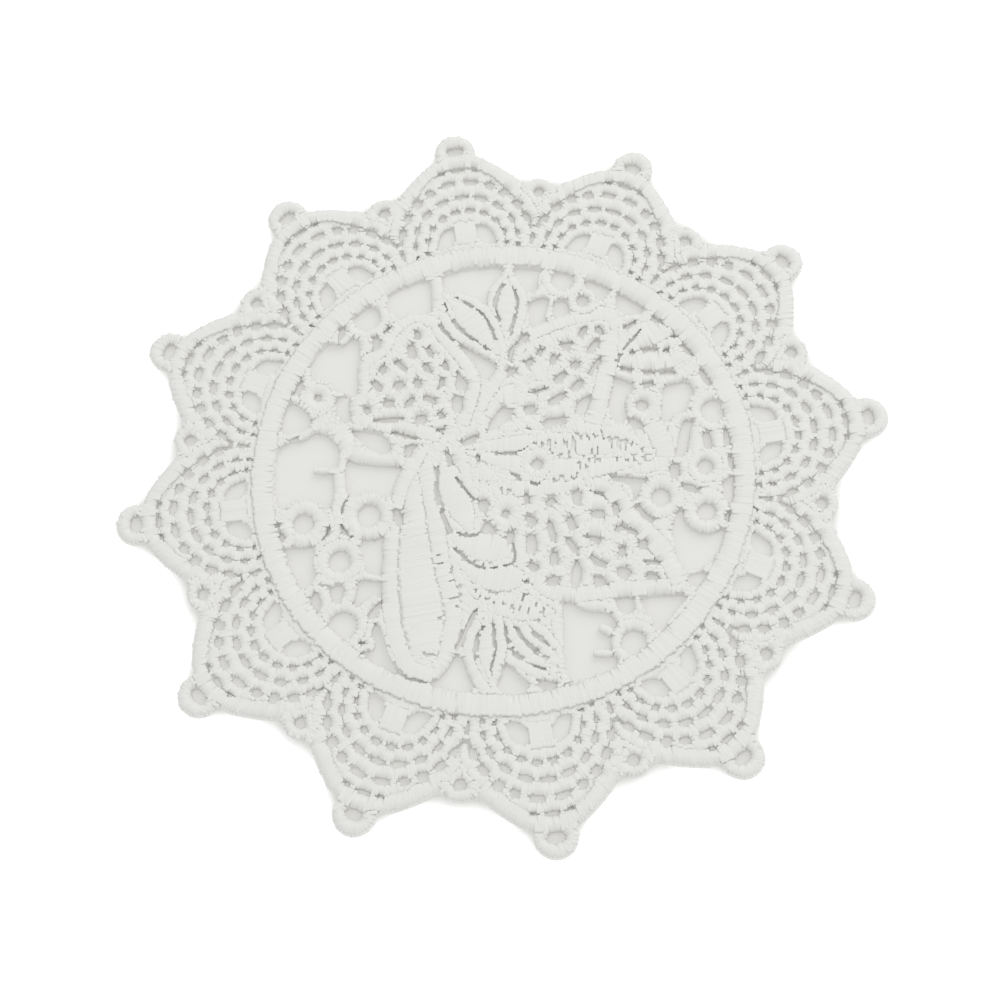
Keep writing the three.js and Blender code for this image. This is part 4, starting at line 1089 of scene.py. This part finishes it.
def walk(start, way):
    """Stitches laid one after another along a bare bar, from its start or in the other way from there."""
    rows = []
    point, heading = start, None
    while True:
        angle = 0.5 * math.atan2(read(across_sin, point), read(across_cos, point))
        across = np.array([math.cos(angle), math.sin(angle)])
        along = left_of(across)
        if heading is None:
            heading = along * way
        else:
            heading = heading + (along if heading @ along >= 0 else -along)
        heading = heading / math.hypot(*heading)
        if way < 0 and point is start:
            point = point + heading * PITCH
            continue
        if covered[cells_of(point)] or read(stitch_depth, point) < BARE_DEPTH:
            return rows
        if math.hypot(*point) > BARE_RADIUS:
            return rows
        left, right = bare_reach(point, -across), bare_reach(point, across)
        if left + right < BARE_WIDTH:
            return rows
        point = point + across * (right - left) / 2
        half = (left + right) / 2
        begin, end = point - across * half, point + across * half
        crown = float(read(stitch_top, point)) - FILL_SINK
        falls = float(end_fall(begin, -across, crown)), float(end_fall(end, across, crown))
        tip = across * END_OVERLAP
        rows.append([*(begin - tip), *(end + tip), crown, *falls])
        cover(begin[None], end[None])
        point = point + heading * PITCH


def bare_fill():
    """Stitches across every bar that is still bare, from the deepest places outwards."""
    bare = (stitch_depth > SEED_DEPTH) & ~covered & (grid_radius < SEED_RADIUS)
    seeds = np.argwhere(bare)
    order = np.argsort(-stitch_depth[bare], kind="stable")
    rows = []
    for i, j in seeds[order]:
        if not covered[i, j]:
            start = np.array([ticks[i], ticks[j]])
            rows += walk(start, 1) + walk(start, -1)
    stitches["fill"] = [np.array(rows)]


ring_band()
for k in range(SCALLOPS):
    picot_band(TIP_STITCHES, k * STEP)
    picot_band(NOTCH_STITCHES, (k + 0.5) * STEP)
    scallop_rim(k * STEP)
    scallop_net(k * STEP)
eyelet_bands()
for leaf in LEAVES:
    leaf_bands(leaf, LEAF_COLUMNS)
leaf_bands(SIDE_WING, WING_COLUMNS)
ribbon_bands()
lower_left_filling()
bare_fill()


# Materials. Colours are what the surface reflects, except the table's painted glow colours, which it gives
# off, and scales are in waves or lumps for each metre

THREAD_DARK = (0.84, 0.832, 0.802)
THREAD_LIGHT = (0.89, 0.882, 0.852)
# The ground's dark colour is mostly painted shade towards the edges of its gaps, and partly its fibres
GROUND_DARK = (0.85, 0.841, 0.811)
GROUND_LIGHT = (0.9, 0.891, 0.861)
# The table's painted shade under the lace, and its painted glow. The glow lightens the shade seen through
# the gaps, and beyond the lace it makes the table blown-out white
TABLE_PAINTED_SHADE = (0.463, 0.46, 0.446)
TABLE_FAR = (0.96, 0.96, 0.955)
PAINTED_GLOW_NEAR = (0.9, 0.893, 0.868)
PAINTED_GLOW_FAR = (1, 1, 1)
PAINTED_GLOW = 0.4
GLOSS = 0.3
THREAD_FIBRES = 5200.0
THREAD_PATCHES = 90.0
GROUND_FIBRES = 2600.0
TABLE_GRAIN = 400.0
FIBRE_DETAIL = 3.0
PATCH_DETAIL = 2.0

# The twist of a thread's plies, for each millimetre along it and for once round it
TWIST_ALONG = 7.5
TWIST_ROUND = 12.566

# The table's painted shade under the lace reaches out to this distance in metres, which is less between the
# tips
SHADE_FROM = 0.0503
SHADE_TO = 0.0535
SHADE_WAVE = 0.0075


class Value:
    """A shader value. Plain arithmetic on it adds maths nodes."""

    def __init__(self, tree, socket):
        self.tree = tree
        self.socket = socket

    def maths(self, operation, *values):
        node = self.tree.nodes.new("ShaderNodeMath")
        node.operation = operation
        for slot, value in zip(node.inputs, values):
            connect(self.tree, slot, value)
        return Value(self.tree, node.outputs[0])

    def __add__(self, other):
        return self.maths("ADD", self, other)

    def __sub__(self, other):
        return self.maths("SUBTRACT", self, other)

    def __mul__(self, other):
        return self.maths("MULTIPLY", self, other)

    def __rsub__(self, other):
        return self.maths("SUBTRACT", other, self)

    __radd__ = __add__
    __rmul__ = __mul__

    def sine(self):
        return self.maths("SINE", self)

    def root(self):
        return self.maths("SQRT", self)

    def angle(self, other):
        return self.maths("ARCTAN2", self, other)


def connect(tree, slot, value):
    """Links a value to a socket, or sets the socket to a plain number or colour."""
    if isinstance(value, Value):
        tree.links.new(value.socket, slot)
    else:
        slot.default_value = value


class Surface:
    """A material with its nodes."""

    def __init__(self, name, roughness, sheen):
        self.material = bpy.data.materials.new(name)
        self.material.use_nodes = True
        self.tree = self.material.node_tree
        self.shader = self.tree.nodes["Principled BSDF"]
        self.set("Roughness", roughness)
        self.set("Sheen Weight", sheen)
        self.set("Specular IOR Level", GLOSS)

    def set(self, slot, value):
        connect(self.tree, self.shader.inputs[slot], value)

    def add(self, kind, output, settings=None, **slots):
        """A node with its settings, such as a ramp's stops, and what its sockets hold. Gives an output."""
        node = self.tree.nodes.new(kind)
        for key, value in (settings or {}).items():
            if key == "stops":
                for stop, colour in zip(node.color_ramp.elements, value):
                    stop.color = (*colour, 1)
            else:
                setattr(node, key, value)
        for key, value in slots.items():
            connect(self.tree, node.inputs[key.replace("_", " ")], value)
        return Value(self.tree, node.outputs[output])

    def place(self, output="Object"):
        return self.add("ShaderNodeTexCoord", output)

    def axes(self, place):
        """The X and Y of a place."""
        x = self.add("ShaderNodeSeparateXYZ", "X", Vector=place)
        return x, Value(self.tree, x.socket.node.outputs["Y"])

    def noise(self, scale, detail):
        return self.add("ShaderNodeTexNoise", "Fac", Vector=self.place(), Scale=scale, Detail=detail)

    def shade(self):
        """Each stitch's random tone, and the ground's painted shade, which darkens it towards the edges of
        its gaps.
        """
        return self.add("ShaderNodeAttribute", "Fac", {"attribute_name": "shade"})

    def blend(self, share, low, high):
        return self.add("ShaderNodeValToRGB", "Color", {"stops": (low, high)}, Fac=share)

    def bump(self, height, strength, distance):
        self.set("Normal", self.add("ShaderNodeBump", "Normal", Height=height, Strength=strength,
                                    Distance=distance))


def thread_material():
    """Matte white embroidery thread: two twisted plies with fine fibres."""
    look = Surface("white_thread", roughness=0.62, sheen=0.12)
    run, turn = look.axes(look.place("UV"))
    twist = (run * TWIST_ALONG + turn * TWIST_ROUND).sine() * 0.5 + 0.5
    fibres = look.noise(THREAD_FIBRES, FIBRE_DETAIL)
    patches = look.noise(THREAD_PATCHES, PATCH_DETAIL)
    # On the stitches this attribute is only each stitch's random tone
    tone = look.shade() * 0.45 + patches * 0.35 + fibres * 0.2
    look.set("Base Color", look.blend(tone, THREAD_DARK, THREAD_LIGHT))
    look.bump(twist * 0.5 + fibres * 0.7, strength=0.2, distance=0.0001)
    return look.material


def ground_material():
    """The ground under the stitches: fine threads, with painted shade that darkens them towards the edges
    of the gaps.
    """
    look = Surface("white_ground", roughness=0.7, sheen=0.1)
    fibres = look.noise(GROUND_FIBRES, FIBRE_DETAIL)
    look.set("Base Color", look.blend(look.shade() * 0.6 + fibres * 0.4, GROUND_DARK, GROUND_LIGHT))
    look.bump(fibres, strength=0.4, distance=0.0002)
    return look.material


def table_material():
    """A smooth pale table with painted shade under the lace, scalloped like it, and a painted glow that
    lightens that shade in the gaps.
    """
    look = Surface("pale_table", roughness=0.5, sheen=0.0)
    x, y = look.axes(look.place())
    wave = (x.angle(y) * SCALLOPS + math.pi / 2).sine() * 0.5 + 0.5
    beyond = (x * x + y * y).root() - wave * wave * wave * SHADE_WAVE
    far = look.add("ShaderNodeMapRange", "Result", {"interpolation_type": "SMOOTHSTEP"},
                   Value=beyond, From_Min=SHADE_FROM, From_Max=SHADE_TO)
    grain = look.noise(TABLE_GRAIN, PATCH_DETAIL)
    # Painted shade: the table is darker under the lace
    look.set("Base Color", look.blend(far + grain * 0.02, TABLE_PAINTED_SHADE, TABLE_FAR))
    # Painted glow: the table gives off light, a little less under the lace
    look.set("Emission Color", look.blend(far, PAINTED_GLOW_NEAR, PAINTED_GLOW_FAR))
    look.set("Emission Strength", PAINTED_GLOW)
    return look.material


# Pieces

core = core_sheet("lace_ground_cloth")
core.data.materials.append(ground_material())
thread = thread_material()
threads = []
for group, parts in stitches.items():
    rows = np.vstack(parts)
    for number, first in enumerate(range(0, len(rows), MAX_STITCHES)):
        piece = thread_mesh(f"{group}_stitches_{number + 1}", rows[first:first + MAX_STITCHES])
        piece.data.materials.append(thread)
        threads.append(piece)
for piece in [core, *threads]:
    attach(piece, "root")
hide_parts("lace_coaster")


# Table, camera and light. Places are in millimetres, and the light's in metres

TABLE_WIDE = 20.0
CAMERA_PLACE = Vector((-1.987, -104.03, 265.4))
CAMERA_AHEAD = Vector((0.00402555, 0.35166016, -0.93611908))
CAMERA_UP = Vector((0.14428003, 0.92612746, 0.34852718))
CAMERA_LENS = 66.62
CAMERA_SENSOR = 36
KEY_PLACE = Vector((0.42, 0.46, 0.62))
KEY_WIDE = 0.8
KEY_POWER = 2.25
STUDIO_COLOUR = (0.98, 0.99, 1.0, 1)
STUDIO_STRENGTH = 0.75


def add_table():
    bpy.ops.mesh.primitive_plane_add(size=TABLE_WIDE)
    plane = bpy.context.object
    plane.name = "table"
    plane.data.materials.append(table_material())
    return plane


def add_camera():
    """A camera at the photographer's place, which looks ahead with its top turned up."""
    data = bpy.data.cameras.new("camera")
    data.lens = CAMERA_LENS
    data.sensor_width = CAMERA_SENSOR
    camera = bpy.data.objects.new("camera", data)
    right = CAMERA_AHEAD.cross(CAMERA_UP).normalized()
    up = right.cross(CAMERA_AHEAD).normalized()
    turn = Matrix((right, up, -CAMERA_AHEAD.normalized())).transposed()
    camera.matrix_world = Matrix.Translation(CAMERA_PLACE * MM) @ turn.to_4x4()
    bpy.context.collection.objects.link(camera)
    bpy.context.scene.camera = camera


def add_light():
    """A soft light from the upper right, in a bright studio."""
    data = bpy.data.lights.new("key", "AREA")
    data.size = KEY_WIDE
    data.energy = KEY_POWER
    lamp = bpy.data.objects.new("key", data)
    lamp.location = KEY_PLACE
    lamp.rotation_euler = (-KEY_PLACE).to_track_quat("-Z", "Y").to_euler()
    bpy.context.collection.objects.link(lamp)
    world = bpy.data.worlds.new("studio")
    world.use_nodes = True
    background = world.node_tree.nodes["Background"]
    background.inputs["Color"].default_value = STUDIO_COLOUR
    background.inputs["Strength"].default_value = STUDIO_STRENGTH
    bpy.context.scene.world = world
    bpy.context.scene.view_settings.view_transform = "Standard"


table = add_table()
add_camera()
add_light()
